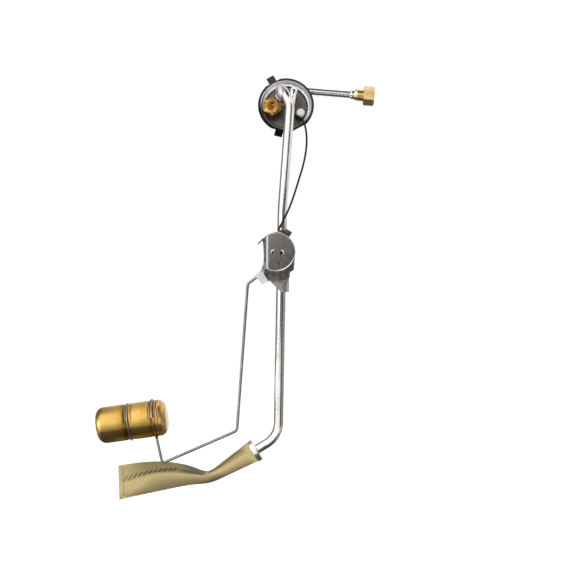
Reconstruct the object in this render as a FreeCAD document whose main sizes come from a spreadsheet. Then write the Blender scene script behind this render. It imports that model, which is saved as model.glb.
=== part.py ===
import FreeCAD, Part
import os
from math import cos, radians, sin, sqrt, tan

import Sketcher

# Fuel level sender for a tank with its opening in an upright wall, in millimetres, +Z up.
# The origin is the middle of the flange's seat, and -Y points into the tank.

Vector = FreeCAD.Vector
Y_AXIS = Vector(0, 1, 0)
FOOT_CROOK = (-0.1, 1.3)

doc = FreeCAD.newDocument("fuel_level_sender")
sheet = doc.addObject("Spreadsheet::Sheet", "sizes")

driving_sizes = {
    # mounting flange, a dished disc with two ears
    "flange_tilt": 10,
    "flange_radius": 28.5,
    "flange_gauge": 1.2,
    "cup_radius": 25.5,
    "floor_radius": 23.2,
    "cup_depth": 8,
    "floor_bend": 2,
    "ear_width": 8.2,
    "ear_reach": 34,
    "upper_ear_angle": 119,
    "lower_ear_angle": 256,
    "relief_width": 4,
    "relief_depth": 1.2,
    "key_flat": 27.2,
    "key_flat_angle": -61,
    # fits
    "fit": 0.05,
    "running_fit": 0.06,
    "rest_gap": 0.3,
    # pickup tube
    "tube_radius": 4.76,
    "tube_wall": 0.7,
    "tube_x": -4.9,
    "tube_height": 10.8,
    "tube_setback": 28,
    "tube_stub": 4,
    "elbow_radius": 13,
    "shoulder_offset": 4,
    "shoulder_drop": 4,
    "shoulder_radius": 16,
    "kink_drop": 108,
    "kink_offset": -3.6,
    "kink_radius": 150,
    "foot_drop": 333.7,
    "foot_offset": -7.7,
    "foot_bend_radius": 24,
    "foot_slope": 31.3,
    "foot_run": 35,
    # domed boss round the tube
    "boss_radius": 8.6,
    "boss_height": 6,
    "boss_gauge": 1,
    "boss_collar": 1.2,
    # brace from the flange's floor to the tube's shoulder
    "brace_radius": 3.6,
    "brace_x": 7.9,
    "brace_height": 9.5,
    "brace_setback": 22,
    "brace_bend_radius": 8,
    "brace_foot": 12,
    # outlet tube and its end fitting
    "outlet_radius": 3.97,
    "outlet_wall": 0.8,
    "outlet_overlap": 3,
    "outlet_stub": 15,
    "outlet_bend_radius": 11,
    "outlet_shift": 23.5,
    "outlet_setback": 28,
    "outlet_rise": 19.2,
    "outlet_slope": 4.7,
    "outlet_reach": 74,
    "ferrule_radius": 5,
    "ferrule_length": 4,
    "barrel_radius": 6.3,
    "barrel_length": 9.6,
    "fitting_hex": 17.46,
    "fitting_hex_length": 11.2,
    "fitting_hex_turn": 30,
    "port_radius": 5.2,
    "port_depth": 9,
    "hex_chamfer": 0.8,
    # vent fitting in the flange
    "vent_x": -14,
    "vent_z": -3.6,
    "vent_hex": 17.46,
    "vent_hex_length": 9,
    "vent_neck_radius": 6,
    "vent_shank_radius": 5,
    "vent_port_radius": 4.8,
    "vent_port_depth": 6,
    "vent_cone_radius": 3.4,
    "vent_cone_height": 3,
    "vent_bore": 1.2,
    "vent_nut_hex": 15,
    "vent_nut_height": 4,
    "vent_nipple_radius": 4,
    "vent_nipple_length": 14,
    # electrical terminal in the flange
    "terminal_x": 14.8,
    "terminal_z": -6.9,
    "stud_radius": 1.8,
    "stud_tail": 5,
    "insulator_radius": 4.1,
    "insulator_height": 2.6,
    "insulator_neck": 2.7,
    "outer_insulator_height": 2,
    "lug_gauge": 0.8,
    "lug_ring": 3.1,
    "lug_flag": 5.8,
    "lug_angle": -138.8,
    "lug_lift": 45,
    "lug_barrel_radius": 1.15,
    "lug_barrel_length": 4,
    "cap_height": 3,
    "washer_radius": 3.8,
    "washer_gauge": 0.8,
    "terminal_nut_hex": 7,
    "terminal_nut_height": 3,
    # lead
    "lead_radius": 0.8,
    "lead_exit_angle": -47.5,
    "lead_exit_height": 7.5,
    "lead_bow": 10,
    "lead_hook": 3.4,
    "sleeve_radius": 1.6,
    "sleeve_length": 13,
    # sender can, its back plate and the strap round the tube
    "can_drop": 150.6,
    "can_offset": 5.7,
    "can_radius": 19.2,
    "can_chord": 8.5,
    "can_depth": 14,
    "can_gauge": 0.8,
    "can_corner": 1.1,
    "can_lip": 4,
    "lance_spread": 4.3,
    "lance_radius": 1.5,
    "lance_shift": 1.1,
    "lance_drop": 1.5,
    "plate_gauge": 1.2,
    "cheek_reach": 13.2,
    "cheek_top": 12.4,
    "cheek_bottom": 20.8,
    "cheek_waist": 1.2,
    "skirt_bottom": 28.8,
    "skirt_left": 10.7,
    "skirt_right": -5.7,
    "strap_top": 24.9,
    "strap_bottom": 39.6,
    "strap_slack": 1.4,
    "shoulder_reach": 17.8,
    "shoulder_bottom": 17.9,
    "ear_right": 14.1,
    "post_angle": 58,
    "post_tab_length": 5.8,
    "post_tab_width": 7,
    "post_gap": 3,
    "post_radius": 1.2,
    "post_head_radius": 1.9,
    "post_head_height": 0.8,
    "post_insulator_radius": 2.5,
    "post_insulator_height": 2,
    "eyelet_gauge": 0.6,
    "eyelet_radius": 2.5,
    "eyelet_barrel_rise": 1.5,
    "eyelet_barrel_left": 6.6,
    "eyelet_barrel_length": 3.4,
    # stops of the float arm
    "upper_stop_reach": 17.4,
    "upper_stop_height": 7.6,
    "stop_gauge": 1.3,
    "stop_depth": 10,
    "lower_stop_gap": 0.75,
    "lower_stop_height": 3.6,
    "ledge_left": -4.2,
    "ledge_right": 12.5,
    "ledge_drop": 29.6,
    "ledge_rise": 4.4,
    "ledge_depth": 2.6,
    "ledge_gauge": 1.2,
    # resistor
    "former_gap": 2.2,
    "former_gauge": 1.2,
    "former_width": 11,
    "former_start": -36,
    "former_end": 76,
    "winding_gauge": 0.5,
    "winding_width": 8.4,
    "winding_margin": 3,
    # pivot and lever
    "pin_radius": 1.6,
    "pin_head_radius": 2.6,
    "pin_head_height": 0.8,
    "pin_collar_height": 1.5,
    "bushing_radius": 3.2,
    "bushing_length": 9,
    "lever_gauge": 1.2,
    "lever_setback": 8.4,
    "lever_hub": 5,
    "lever_width": 4.4,
    "lever_knee_x": 10.9,
    "lever_knee_z": 14.4,
    "foot_flange_depth": 4.2,
    "foot_reach": 7.9,
    "wiper_gauge": 0.5,
    "wiper_width": 3,
    "wiper_angle": 62,
    "contact_radius": 1.5,
    "contact_height": 1.6,
    # float rod, in the plane of the lever's foot
    "rod_radius": 1.35,
    "rod_root_reach": 12.73,
    "rod_root_drop": 20.7,
    "rod_shoulder_reach": 14.8,
    "rod_shoulder_drop": 10.9,
    "rod_elbow_x": -48.2,
    "rod_elbow_z": -326.6,
    "rod_toe_x": -121.6,
    "rod_toe_z": -358.6,
    "rod_bend_radius": 5,
    "rod_wrap": 262,
    "rod_wrap_bend": 3,
    # float, a sealed brass shell
    "float_radius": 17.85,
    "float_length": 69.5,
    "float_corner": 8.5,
    "float_wall": 0.4,
    "float_tilt": 7.8,
    "float_x": -151.5,
    "float_z": -317.7,
    "groove_depth": 1.1,
    "groove_width": 6,
    "groove_margin": 1.4,
    "clip_groove": -2.6,
    "clip_radius": 1,
    "clip_gap": 30,
    # strainer sock and its collar
    "collar_radius": 11.5,
    "collar_wall": 0.9,
    "collar_length": 4.6,
    "collar_distance": 26.7,
    "sock_mouth": 11.2,
    "sock_half_width": 16.9,
    "sock_end_thickness": 1.6,
    "sock_neck_thickness": 10.4,
    "sock_throat": 54.2,
    "sock_tail": 89.3,
    "sock_tail_drop": 4.1,
    "sock_arch": 9,
    "sock_twist": 80,
}


class Size:
    """A size as its number and as the expression that gives it from the sheet."""

    def __init__(self, number, text):
        self.number = number
        self.text = text

    def __add__(self, other):
        other = as_size(other)
        return Size(self.number + other.number, f"({self.text} + {other.text})")

    def __sub__(self, other):
        other = as_size(other)
        return Size(self.number - other.number, f"({self.text} - {other.text})")

    def __mul__(self, other):
        other = as_size(other)
        return Size(self.number * other.number, f"({self.text} * {other.text})")

    def __truediv__(self, other):
        other = as_size(other)
        return Size(self.number / other.number, f"({self.text} / {other.text})")

    def __neg__(self):
        return Size(-self.number, f"(-1 * {self.text})")

    def __float__(self):
        return float(self.number)


def as_size(value):
    return value if isinstance(value, Size) else Size(float(value), f"({float(value)})")


def cosine(angle):
    angle = as_size(angle)
    return Size(cos(radians(angle.number)), f"cos({angle.text})")


def sine(angle):
    angle = as_size(angle)
    return Size(sin(radians(angle.number)), f"sin({angle.text})")


def root(value):
    return Size(sqrt(value.number), f"sqrt({value.text})")


class Sizes:
    """The sheet's sizes by name."""


s = Sizes()


def fill_sheet():
    for row, (name, number) in enumerate(driving_sizes.items(), start=1):
        sheet.set(f"A{row}", name)
        sheet.set(f"B{row}", str(number))
        sheet.setAlias(f"B{row}", name)
        setattr(s, name, Size(float(number), f"sizes.{name}"))
    doc.recompute()


def bind(item, prop, size):
    item.setExpression(prop, as_size(size).text)


# Bodies, sketches and features


def new_body(name):
    body = doc.addObject("PartDesign::Body", name)
    body.Label = name
    return body


def new_sketch(body, role, offset=0):
    sketch = body.newObject("Sketcher::SketchObject", f"{body.Name}_sketch")
    plane = [item for item in body.Origin.OriginFeatures if item.Role == role][0]
    sketch.AttachmentSupport = [(plane, "")]
    sketch.MapMode = "FlatFace"
    bind(sketch, "AttachmentOffset.Base.z", offset)
    return sketch


def fix_point(sketch, edge, end, x, y):
    for kind, size in (("DistanceX", as_size(x)), ("DistanceY", as_size(y))):
        number = sketch.addConstraint(Sketcher.Constraint(kind, -1, 1, edge, end, size.number))
        sketch.setExpression(f"Constraints[{number}]", size.text)


def arc_middle(start, end, radius, side):
    """Point half way round an arc; side is 1 left or -1 right of its chord, 2 or -2 the long way."""
    chord = end - start
    rise = sqrt(max(radius ** 2 - chord.Length ** 2 / 4, 0))
    sagitta = radius + rise if abs(side) == 2 else radius - rise
    across = Vector(-chord.y, chord.x, 0).normalize()
    return (start + end) * 0.5 + across * sagitta * (1 if side > 0 else -1)


def draw_outline(sketch, corners, arcs=None):
    """Closed outline through the corners; arcs gives the radius and side of the edges that curve."""
    arcs = arcs or {}
    points = [Vector(float(x), float(y), 0) for x, y in corners]
    first = len(sketch.Geometry)
    count = len(points)
    starts = []
    for index, start in enumerate(points):
        end = points[(index + 1) % count]
        if index in arcs:
            radius, side = arcs[index]
            curve = Part.Arc(start, arc_middle(start, end, float(radius), side), end)
            sketch.addGeometry(curve, False)
        else:
            sketch.addGeometry(Part.LineSegment(start, end), False)
        forward = (sketch.getPoint(first + index, 1) - start).Length < 1e-6
        starts.append((1, 2) if forward else (2, 1))
    for index, (x, y) in enumerate(corners):
        following = (index + 1) % count
        sketch.addConstraint(Sketcher.Constraint(
            "Coincident", first + index, starts[index][1], first + following, starts[following][0]))
        fix_point(sketch, first + index, starts[index][0], x, y)
    for index, (radius, side) in arcs.items():
        radius = as_size(radius)
        number = sketch.addConstraint(Sketcher.Constraint("Radius", first + index, radius.number))
        sketch.setExpression(f"Constraints[{number}]", radius.text)


def draw_circle(sketch, x, y, radius):
    radius = as_size(radius)
    centre = Vector(float(as_size(x)), float(as_size(y)), 0)
    edge = sketch.addGeometry(Part.Circle(centre, Vector(0, 0, 1), radius.number), False)
    number = sketch.addConstraint(Sketcher.Constraint("Radius", edge, radius.number))
    sketch.setExpression(f"Constraints[{number}]", radius.text)
    fix_point(sketch, edge, 3, x, y)


def extrude(body, sketch, length, cut=False, turned=False):
    kind = "Pocket" if cut else "Pad"
    feature = body.newObject(f"PartDesign::{kind}", f"{body.Name}_{kind.lower()}")
    feature.Profile = sketch
    bind(feature, "Length", length)
    feature.Reversed = turned
    return feature


def slab(body, low, high, corners=None, arcs=None, circle=None, cut=False):
    """Prism along Y between two depths, added, or cut away."""
    low = as_size(low)
    high = as_size(high)
    sketch = new_sketch(body, "XZ_Plane", -low if cut else -high)
    if corners:
        draw_outline(sketch, corners, arcs)
    if circle:
        draw_circle(sketch, *circle)
    return extrude(body, sketch, high - low, cut)


def column(body, low, high, corners, arcs=None, cut=False):
    """Prism along Z between two heights, added, or cut away."""
    low = as_size(low)
    high = as_size(high)
    sketch = new_sketch(body, "XY_Plane", high if cut else low)
    draw_outline(sketch, corners, arcs)
    return extrude(body, sketch, high - low, cut)


def turn(body, corners, arcs=None, axis="V_Axis", cut=False):
    """Full revolution of an outline in the XY plane about one of its axes."""
    sketch = new_sketch(body, "XY_Plane")
    draw_outline(sketch, corners, arcs)
    kind = "Groove" if cut else "Revolution"
    feature = body.newObject(f"PartDesign::{kind}", f"{body.Name}_{kind.lower()}")
    feature.Profile = sketch
    feature.ReferenceAxis = (sketch, [axis])
    feature.Angle = 360
    return feature


def hexagon(across_flats, turned, x=0, y=0):
    """Corners of a hexagon; with turned at 0 a corner is at the right."""
    corner_radius = as_size(across_flats) / sqrt(3)
    corners = []
    for index in range(6):
        angle = as_size(turned) + 60 * index
        corners.append((as_size(x) + corner_radius * cosine(angle),
                        as_size(y) + corner_radius * sine(angle)))
    return corners


def rectangle(left, right, bottom, top):
    return [(left, bottom), (right, bottom), (right, top), (left, top)]


def strip(start_x, start_y, end_x, end_y, width):
    """Corners of a straight strip of the given width along a line."""
    dx = as_size(end_x) - start_x
    dy = as_size(end_y) - start_y
    length = root(dx * dx + dy * dy)
    side_x = dy / length * width / 2
    side_y = dx / length * width / 2
    return [(as_size(start_x) + side_x, as_size(start_y) - side_y),
            (as_size(end_x) + side_x, as_size(end_y) - side_y),
            (as_size(end_x) - side_x, as_size(end_y) + side_y),
            (as_size(start_x) - side_x, as_size(start_y) + side_y)]


# Places


def place_at(item, x, y, z, axis=(1, 0, 0), angle=0):
    item.Placement = FreeCAD.Placement(Vector(), FreeCAD.Rotation(Vector(*axis), 1))
    bind(item, "Placement.Base.x", x)
    bind(item, "Placement.Base.y", y)
    bind(item, "Placement.Base.z", z)
    bind(item, "Placement.Rotation.Angle", angle)


def flange_place(x, y, z):
    """Place of a point given in the tilted flange's own directions, y being outwards."""
    x, y, z = as_size(x), as_size(y), as_size(z)
    return (x,
            y * cosine(s.flange_tilt) + z * sine(s.flange_tilt),
            z * cosine(s.flange_tilt) - y * sine(s.flange_tilt))


def flange_point(x, y, z):
    return Vector(*[float(value) for value in flange_place(x, y, z)])


def on_flange(item, x=0, z=0):
    place_at(item, *flange_place(x, 0, z), (1, 0, 0), -s.flange_tilt)


def tube_offset(drop):
    """The pickup tube's x at a depth below the kink."""
    share = (as_size(drop) - s.kink_drop) / (s.foot_drop - s.kink_drop)
    return s.kink_offset + (s.foot_offset - s.kink_offset) * share


def can_x():
    return tube_offset(s.can_drop) - s.can_offset


def plate_y():
    """The back plate's side towards the can."""
    return -(s.tube_setback + s.tube_radius + s.fit + s.plate_gauge)


def rod_y():
    """The plane of the float rod, just behind the lever's plate."""
    return plate_y() - s.lever_setback + s.fit + s.rod_radius


def rod_root():
    """Start of the rod behind the lever's foot."""
    return can_x() - s.rod_root_reach, -(s.can_drop + s.rod_root_drop)


def rod_shoulder():
    x, z = rod_root()
    return x - s.rod_shoulder_reach, z - s.rod_shoulder_drop


def on_can(item):
    place_at(item, can_x(), plate_y(), -s.can_drop)


def foot_direction():
    return Vector(-cos(radians(float(s.foot_slope))), 0, -sin(radians(float(s.foot_slope))))


# Bent tubes and wires


def bent_path(points, radii):
    """Straight runs joined by tangent arcs, one radius for each inner point."""
    edges = []
    start = points[0]
    for index, radius in enumerate(radii, start=1):
        corner = points[index]
        incoming = (corner - points[index - 1]).normalize()
        outgoing = (points[index + 1] - corner).normalize()
        half_turn = incoming.getAngle(outgoing) / 2
        reach = radius * tan(half_turn)
        first = corner - incoming * reach
        last = corner + outgoing * reach
        inward = (outgoing - incoming).normalize()
        middle = corner + inward * (radius / cos(half_turn) - radius)
        edges.append(Part.LineSegment(start, first).toShape())
        edges.append(Part.Arc(first, middle, last).toShape())
        start = last
    edges.append(Part.LineSegment(start, points[-1]).toShape())
    return Part.Wire(edges)


def pipe(path, radius):
    start = path.Edges[0]
    tangent = start.tangentAt(start.FirstParameter)
    ring = Part.Wire(Part.Circle(start.valueAt(start.FirstParameter), tangent, float(radius)).toShape())
    return path.makePipeShell([ring], True, False)


def check_pipe(name, shape, path, radius, inner=0):
    section = 3.141592653589793 * (float(radius) ** 2 - float(inner) ** 2)
    print(f"{name}: volume {shape.Volume:.1f}, section times length {section * path.Length:.1f}")


def new_piece(name, shape):
    piece = doc.addObject("Part::Feature", name)
    piece.Label = name
    piece.Shape = shape
    return piece


# Mounting flange


def make_mounting_flange():
    body = new_body("mounting_flange")
    gauge = s.flange_gauge
    wall_slope = (s.cup_radius - s.floor_radius) / s.cup_depth
    lip_root = s.cup_radius + gauge
    floor_corner = s.floor_radius + gauge
    outer_depth = s.cup_depth + gauge
    turn(body, [(0, s.cup_depth),
                (s.floor_radius - s.floor_bend, s.cup_depth),
                (s.floor_radius + wall_slope * s.floor_bend, s.cup_depth - s.floor_bend),
                (s.cup_radius, 0),
                (s.flange_radius, 0),
                (s.flange_radius, gauge),
                (lip_root, gauge),
                (floor_corner + wall_slope * s.floor_bend, s.cup_depth - s.floor_bend),
                (floor_corner - s.floor_bend, outer_depth),
                (0, outer_depth)],
         {1: (s.floor_bend, -1), 7: (s.floor_bend + gauge, 1)})
    for angle in (s.upper_ear_angle, s.lower_ear_angle):
        root_radius = s.flange_radius - s.relief_depth * 2
        slab(body, 0, gauge, strip(root_radius * cosine(angle), root_radius * sine(angle),
                                   s.ear_reach * cosine(angle), s.ear_reach * sine(angle), s.ear_width))
        for side in (-1, 1):
            shift = (s.ear_width + s.relief_width) / 2 * side
            inner = s.flange_radius - s.relief_depth
            start_x = inner * cosine(angle) - shift * sine(angle)
            start_y = inner * sine(angle) + shift * cosine(angle)
            end_x = s.ear_reach * cosine(angle) - shift * sine(angle)
            end_y = s.ear_reach * sine(angle) + shift * cosine(angle)
            slab(body, 0, gauge, strip(start_x, start_y, end_x, end_y, s.relief_width), cut=True)
    flat = s.key_flat
    slab(body, 0, gauge, strip(flat * cosine(s.key_flat_angle), flat * sine(s.key_flat_angle),
                               s.ear_reach * cosine(s.key_flat_angle),
                               s.ear_reach * sine(s.key_flat_angle), s.flange_radius), cut=True)
    holes = ((s.tube_x, s.tube_height, s.tube_radius + s.fit),
             (s.vent_x, s.vent_z, s.vent_shank_radius + s.fit),
             (s.terminal_x, s.terminal_z, s.insulator_neck + s.fit))
    for x, z, radius in holes:
        slab(body, s.cup_depth - gauge, outer_depth, circle=(x, z, radius), cut=True)
    on_flange(body)
    return body


def make_tube_boss():
    """Domed pressing that stiffens the floor where the tube goes through."""
    body = new_body("tube_boss")
    top = s.cup_depth - s.boss_height
    bore = s.tube_radius + s.fit
    neck = bore + s.boss_gauge
    inside = s.cup_depth - s.boss_height + s.boss_gauge
    turn(body, [(s.boss_radius, s.cup_depth),
                (neck, top),
                (neck, top - s.boss_collar),
                (bore, top - s.boss_collar),
                (bore, inside),
                (s.boss_radius - s.boss_gauge, s.cup_depth)],
         {0: (s.boss_height, -1), 4: (s.boss_height - s.boss_gauge / 2, 1)})
    on_flange(body, s.tube_x, s.tube_height)
    return body


# Tubes


def pickup_path():
    setback = float(s.tube_setback)
    start = flange_point(s.tube_x, s.cup_depth + s.flange_gauge + s.tube_stub, s.tube_height)
    seat = flange_point(s.tube_x, 0, s.tube_height)
    outward = (start - seat).normalize()
    elbow = seat + outward * ((-setback - seat.y) / outward.y)
    shoulder = Vector(float(s.shoulder_offset), -setback, -float(s.shoulder_drop))
    kink = Vector(float(s.kink_offset), -setback, -float(s.kink_drop))
    foot = Vector(float(s.foot_offset), -setback, -float(s.foot_drop))
    end = foot + foot_direction() * float(s.foot_run)
    return bent_path([start, elbow, shoulder, kink, foot, end],
                     [float(s.elbow_radius), float(s.shoulder_radius), float(s.kink_radius),
                      float(s.foot_bend_radius)])


def make_pickup_tube():
    path = pickup_path()
    inner = s.tube_radius - s.tube_wall
    shape = pipe(path, s.tube_radius).cut(pipe(path, inner))
    check_pipe("pickup_tube", shape, path, s.tube_radius, inner)
    return new_piece("pickup_tube", shape)


def make_tube_brace():
    """Bent brace from the flange's floor, fitted round the tube where it lands on it."""
    seat = flange_point(s.brace_x, s.cup_depth, s.brace_height)
    front = flange_point(s.brace_x, 0, s.brace_height)
    outward = (front - seat).normalize()
    bend = seat + outward * ((-float(s.brace_setback) - seat.y) / outward.y)
    shoulder = Vector(float(s.shoulder_offset), -float(s.tube_setback), -float(s.shoulder_drop))
    kink = Vector(float(s.kink_offset), -float(s.tube_setback), -float(s.kink_drop))
    landing = shoulder + (kink - shoulder).normalize() * float(s.brace_foot)
    path = bent_path([seat, bend, landing], [float(s.brace_bend_radius)])
    shape = pipe(path, s.brace_radius).cut(pipe(pickup_path(), s.tube_radius + s.fit))
    return new_piece("tube_brace", shape)


def outlet_line():
    """Start of the outlet's last straight run, and its direction."""
    slope = radians(float(s.outlet_slope))
    direction = Vector(cos(slope), 0, -sin(slope))
    start = Vector(float(s.tube_x + s.outlet_shift), float(s.outlet_setback), float(s.outlet_rise))
    return start, direction


def make_outlet_tube():
    floor_y = s.cup_depth + s.flange_gauge
    start = flange_point(s.tube_x, floor_y - s.outlet_overlap, s.tube_height)
    turn_out = flange_point(s.tube_x, floor_y + s.outlet_stub, s.tube_height)
    bend, direction = outlet_line()
    end = bend + direction * ((float(s.outlet_reach) - bend.x) / direction.x)
    radius = float(s.outlet_bend_radius)
    path = bent_path([start, turn_out, bend, end], [radius, radius])
    inner = s.outlet_radius - s.outlet_wall
    shape = pipe(path, s.outlet_radius).cut(pipe(path, inner))
    check_pipe("outlet_tube", shape, path, s.outlet_radius, inner)
    return new_piece("outlet_tube", shape)


def on_outlet(item, distance):
    """Place along the outlet's last run, measured back from the tube's end."""
    rise = s.outlet_rise - (s.outlet_reach - s.tube_x - s.outlet_shift) * sine(s.outlet_slope) / cosine(
        s.outlet_slope)
    place_at(item,
             s.outlet_reach + as_size(distance) * cosine(s.outlet_slope),
             s.outlet_setback,
             rise - as_size(distance) * sine(s.outlet_slope),
             (0, 1, 0), s.outlet_slope)


def make_outlet_ferrule():
    body = new_body("outlet_ferrule")
    bore = s.outlet_radius + s.fit
    turn(body, [(0, bore), (s.ferrule_length, bore), (s.ferrule_length, s.ferrule_radius),
                (s.ferrule_length * 0.3, s.ferrule_radius), (0, bore + 0.4)], axis="H_Axis")
    on_outlet(body, -(s.ferrule_length + 3))
    return body


def make_outlet_fitting():
    """Brass end fitting: a turned barrel over the tube, and a hexagon with the port."""
    body = new_body("outlet_fitting")
    bore = s.outlet_radius + s.fit
    tube_end = as_size(3)
    length = s.barrel_length + s.fitting_hex_length
    sketch = new_sketch(body, "YZ_Plane", s.barrel_length)
    draw_outline(sketch, hexagon(s.fitting_hex, s.fitting_hex_turn))
    extrude(body, sketch, s.fitting_hex_length)
    turn(body, [(0, 0), (s.barrel_length, 0), (s.barrel_length, s.barrel_radius),
                (s.barrel_length * 0.3, s.barrel_radius), (0, s.barrel_radius - 0.9)], axis="H_Axis")
    tip = s.fitting_hex / sqrt(3)
    flat = s.fitting_hex / 2
    for face, inward in ((s.barrel_length, 1), (length, -1)):
        turn(body, [(face, flat), (face, tip + 1), (face + (tip + 1 - flat) * 0.5 * inward, tip + 1)],
             axis="H_Axis", cut=True)
    turn(body, [(0, 0), (tube_end, 0), (tube_end, bore), (0, bore)], axis="H_Axis", cut=True)
    seat = length - s.port_depth
    turn(body, [(tube_end, 0), (length, 0), (length, s.port_radius + s.hex_chamfer),
                (length - s.hex_chamfer, s.port_radius), (seat, s.port_radius),
                (seat - 2, s.outlet_radius - s.outlet_wall),
                (tube_end, s.outlet_radius - s.outlet_wall)], axis="H_Axis", cut=True)
    on_outlet(body, -tube_end)
    return body


# Vent fitting


def make_vent_fitting():
    body = new_body("vent_fitting")
    floor_out = s.cup_depth + s.flange_gauge
    front = -s.vent_hex_length
    slab(body, front, 0, hexagon(s.vent_hex, 30))
    tail = floor_out + s.vent_nut_height
    end = tail + s.vent_nipple_length
    turn(body, [(0, 0), (s.vent_neck_radius, 0), (s.vent_neck_radius, s.cup_depth),
                (s.vent_shank_radius, s.cup_depth), (s.vent_shank_radius, tail + 1),
                (s.vent_nipple_radius - 0.6, tail + 1), (s.vent_nipple_radius - 0.6, end - 3),
                (s.vent_nipple_radius, end - 3), (s.vent_nipple_radius - 1, end), (0, end)])
    flat = s.vent_hex / 2
    tip = s.vent_hex / sqrt(3)
    turn(body, [(flat, front), (tip + 1, front), (tip + 1, front + (tip + 1 - flat) * 0.5)], cut=True)
    seat = front + s.vent_port_depth
    turn(body, [(s.vent_bore + 0.5, seat - s.vent_cone_height), (s.vent_cone_radius, seat),
                (s.vent_port_radius, seat), (s.vent_port_radius, front + s.hex_chamfer),
                (s.vent_port_radius + s.hex_chamfer, front), (s.vent_bore + 0.5, front)], cut=True)
    turn(body, [(0, front - 1), (s.vent_bore, front - 1), (s.vent_bore, floor_out),
                (s.vent_nipple_radius - 2, floor_out + 1), (s.vent_nipple_radius - 2, end + 1),
                (0, end + 1)], cut=True)
    turn(body, [(0, front - 1), (s.vent_bore + 0.5, front - 1),
                (s.vent_bore + 0.5, seat - s.vent_cone_height), (0, seat - s.vent_cone_height)], cut=True)
    on_flange(body, s.vent_x, s.vent_z)
    return body


def make_vent_nut():
    body = new_body("vent_nut")
    floor_out = s.cup_depth + s.flange_gauge
    top = floor_out + s.vent_nut_height
    slab(body, floor_out, top, hexagon(s.vent_nut_hex, 10))
    flat = s.vent_nut_hex / 2
    turn(body, [(flat, top), (flat + 3, top), (flat + 3, top - 1.5)], cut=True)
    slab(body, floor_out, top, circle=(0, 0, s.vent_shank_radius + s.fit), cut=True)
    on_flange(body, s.vent_x, s.vent_z)
    return body


# Electrical terminal


def ring_body(name, inner, outer, low, high, chamfer=0.3):
    """Washer-like ring about a Y axis, its outer front edge broken."""
    body = new_body(name)
    inner, outer, low, high = as_size(inner), as_size(outer), as_size(low), as_size(high)
    turn(body, [(inner, low), (outer - chamfer, low), (outer, low + chamfer), (outer, high), (inner, high)])
    return body


def on_terminal(body):
    on_flange(body, s.terminal_x, s.terminal_z)
    return body


def make_terminal():
    bore = s.stud_radius + s.fit
    floor_out = s.cup_depth + s.flange_gauge
    lug_back = s.cup_depth - s.insulator_height
    lug_front = lug_back - s.lug_gauge
    cap_front = lug_front - s.cap_height
    stack = floor_out + s.outer_insulator_height + s.washer_gauge
    end = stack + s.terminal_nut_height

    inner = new_body("inner_insulator")
    turn(inner, [(bore, lug_back), (s.insulator_radius, lug_back), (s.insulator_radius, s.cup_depth),
                 (s.insulator_neck, s.cup_depth), (s.insulator_neck, floor_out), (bore, floor_out)])
    cap = new_body("terminal_cap")
    dome = s.cap_height * 0.5
    turn(cap, [(0, cap_front), (s.insulator_radius - dome, cap_front),
               (s.insulator_radius, cap_front + dome), (s.insulator_radius, lug_front),
               (bore, lug_front), (bore, lug_front - s.cap_height * 0.6),
               (0, lug_front - s.cap_height * 0.6)],
         {1: (dome, -1)})
    outer = ring_body("outer_insulator", bore, s.insulator_radius, floor_out,
                      floor_out + s.outer_insulator_height)
    washer = ring_body("terminal_washer", bore, s.washer_radius, floor_out + s.outer_insulator_height,
                       stack, 0.15)
    nut = new_body("terminal_nut")
    slab(nut, stack, end, hexagon(s.terminal_nut_hex, 20))
    slab(nut, stack, end, circle=(0, 0, bore), cut=True)
    stud = new_body("terminal_stud")
    stud_front = lug_front - s.cap_height * 0.5
    tip = end + s.stud_tail
    turn(stud, [(0, stud_front), (s.stud_radius, stud_front), (s.stud_radius, tip - 0.6),
                (s.stud_radius - 0.6, tip), (0, tip)])
    return [on_terminal(body) for body in (inner, cap, outer, washer, nut, stud)]


def lug_frame():
    """Ring centre, end of the flag, direction of the barrel, all on the flange."""
    depth = s.cup_depth - s.insulator_height - s.lug_gauge / 2
    centre = flange_point(s.terminal_x, depth, s.terminal_z)
    angle = float(s.lug_angle)
    flag_x = s.terminal_x + s.lug_flag * cosine(angle)
    flag_z = s.terminal_z + s.lug_flag * sine(angle)
    flag = flange_point(flag_x, depth, flag_z)
    normal = (flange_point(0, 1, 0) - flange_point(0, 0, 0)).normalize()
    across = (flag - centre).normalize()
    level = across.cross(normal)
    if level.z > 0:
        level = level * -1
    lift = radians(float(s.lug_lift))
    return centre, flag, level * cos(lift) - normal * sin(lift), normal


def make_lead_lug():
    """Flag terminal: a flat ring with its crimped barrel across the end of a short flag."""
    centre, flag, barrel, normal = lug_frame()
    gauge = float(s.lug_gauge)
    base = centre - normal * (gauge / 2)
    ring = Part.makeCylinder(float(s.lug_ring), gauge, base, normal)
    across = (flag - centre).normalize()
    side = across.cross(normal).normalize()
    half = float(s.lug_barrel_length) / 2
    end = flag - normal * (gauge / 2)
    corners = [base + side * half, base - side * half, end - side * half * 0.6, end + side * half * 0.6]
    blade = Part.Face(Part.makePolygon(corners + corners[:1])).extrude(normal * gauge)
    crimp = Part.makeCylinder(float(s.lug_barrel_radius), 2 * half, flag - barrel * half, barrel)
    hole = Part.makeCylinder(float(s.stud_radius + s.fit), 3 * gauge, base - normal * gauge, normal)
    return new_piece("lead_lug", ring.fuse([blade, crimp]).removeSplitter().cut(hole))


# Lead from the flange's terminal to the sender's terminal post


def post_place():
    """The terminal post's x and z in the can's directions."""
    distance = s.can_radius + s.post_gap
    return distance * cosine(s.post_angle), distance * sine(s.post_angle)


def eyelet_barrel():
    """Left end of the eyelet's barrel, where the lead goes in."""
    post_x, post_z = post_place()
    return Vector(float(can_x() + post_x - s.eyelet_barrel_left),
                  float(plate_y() - s.post_insulator_height - s.eyelet_gauge / 2 - 0.5),
                  float(post_z + s.eyelet_barrel_rise - s.can_drop))


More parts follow.
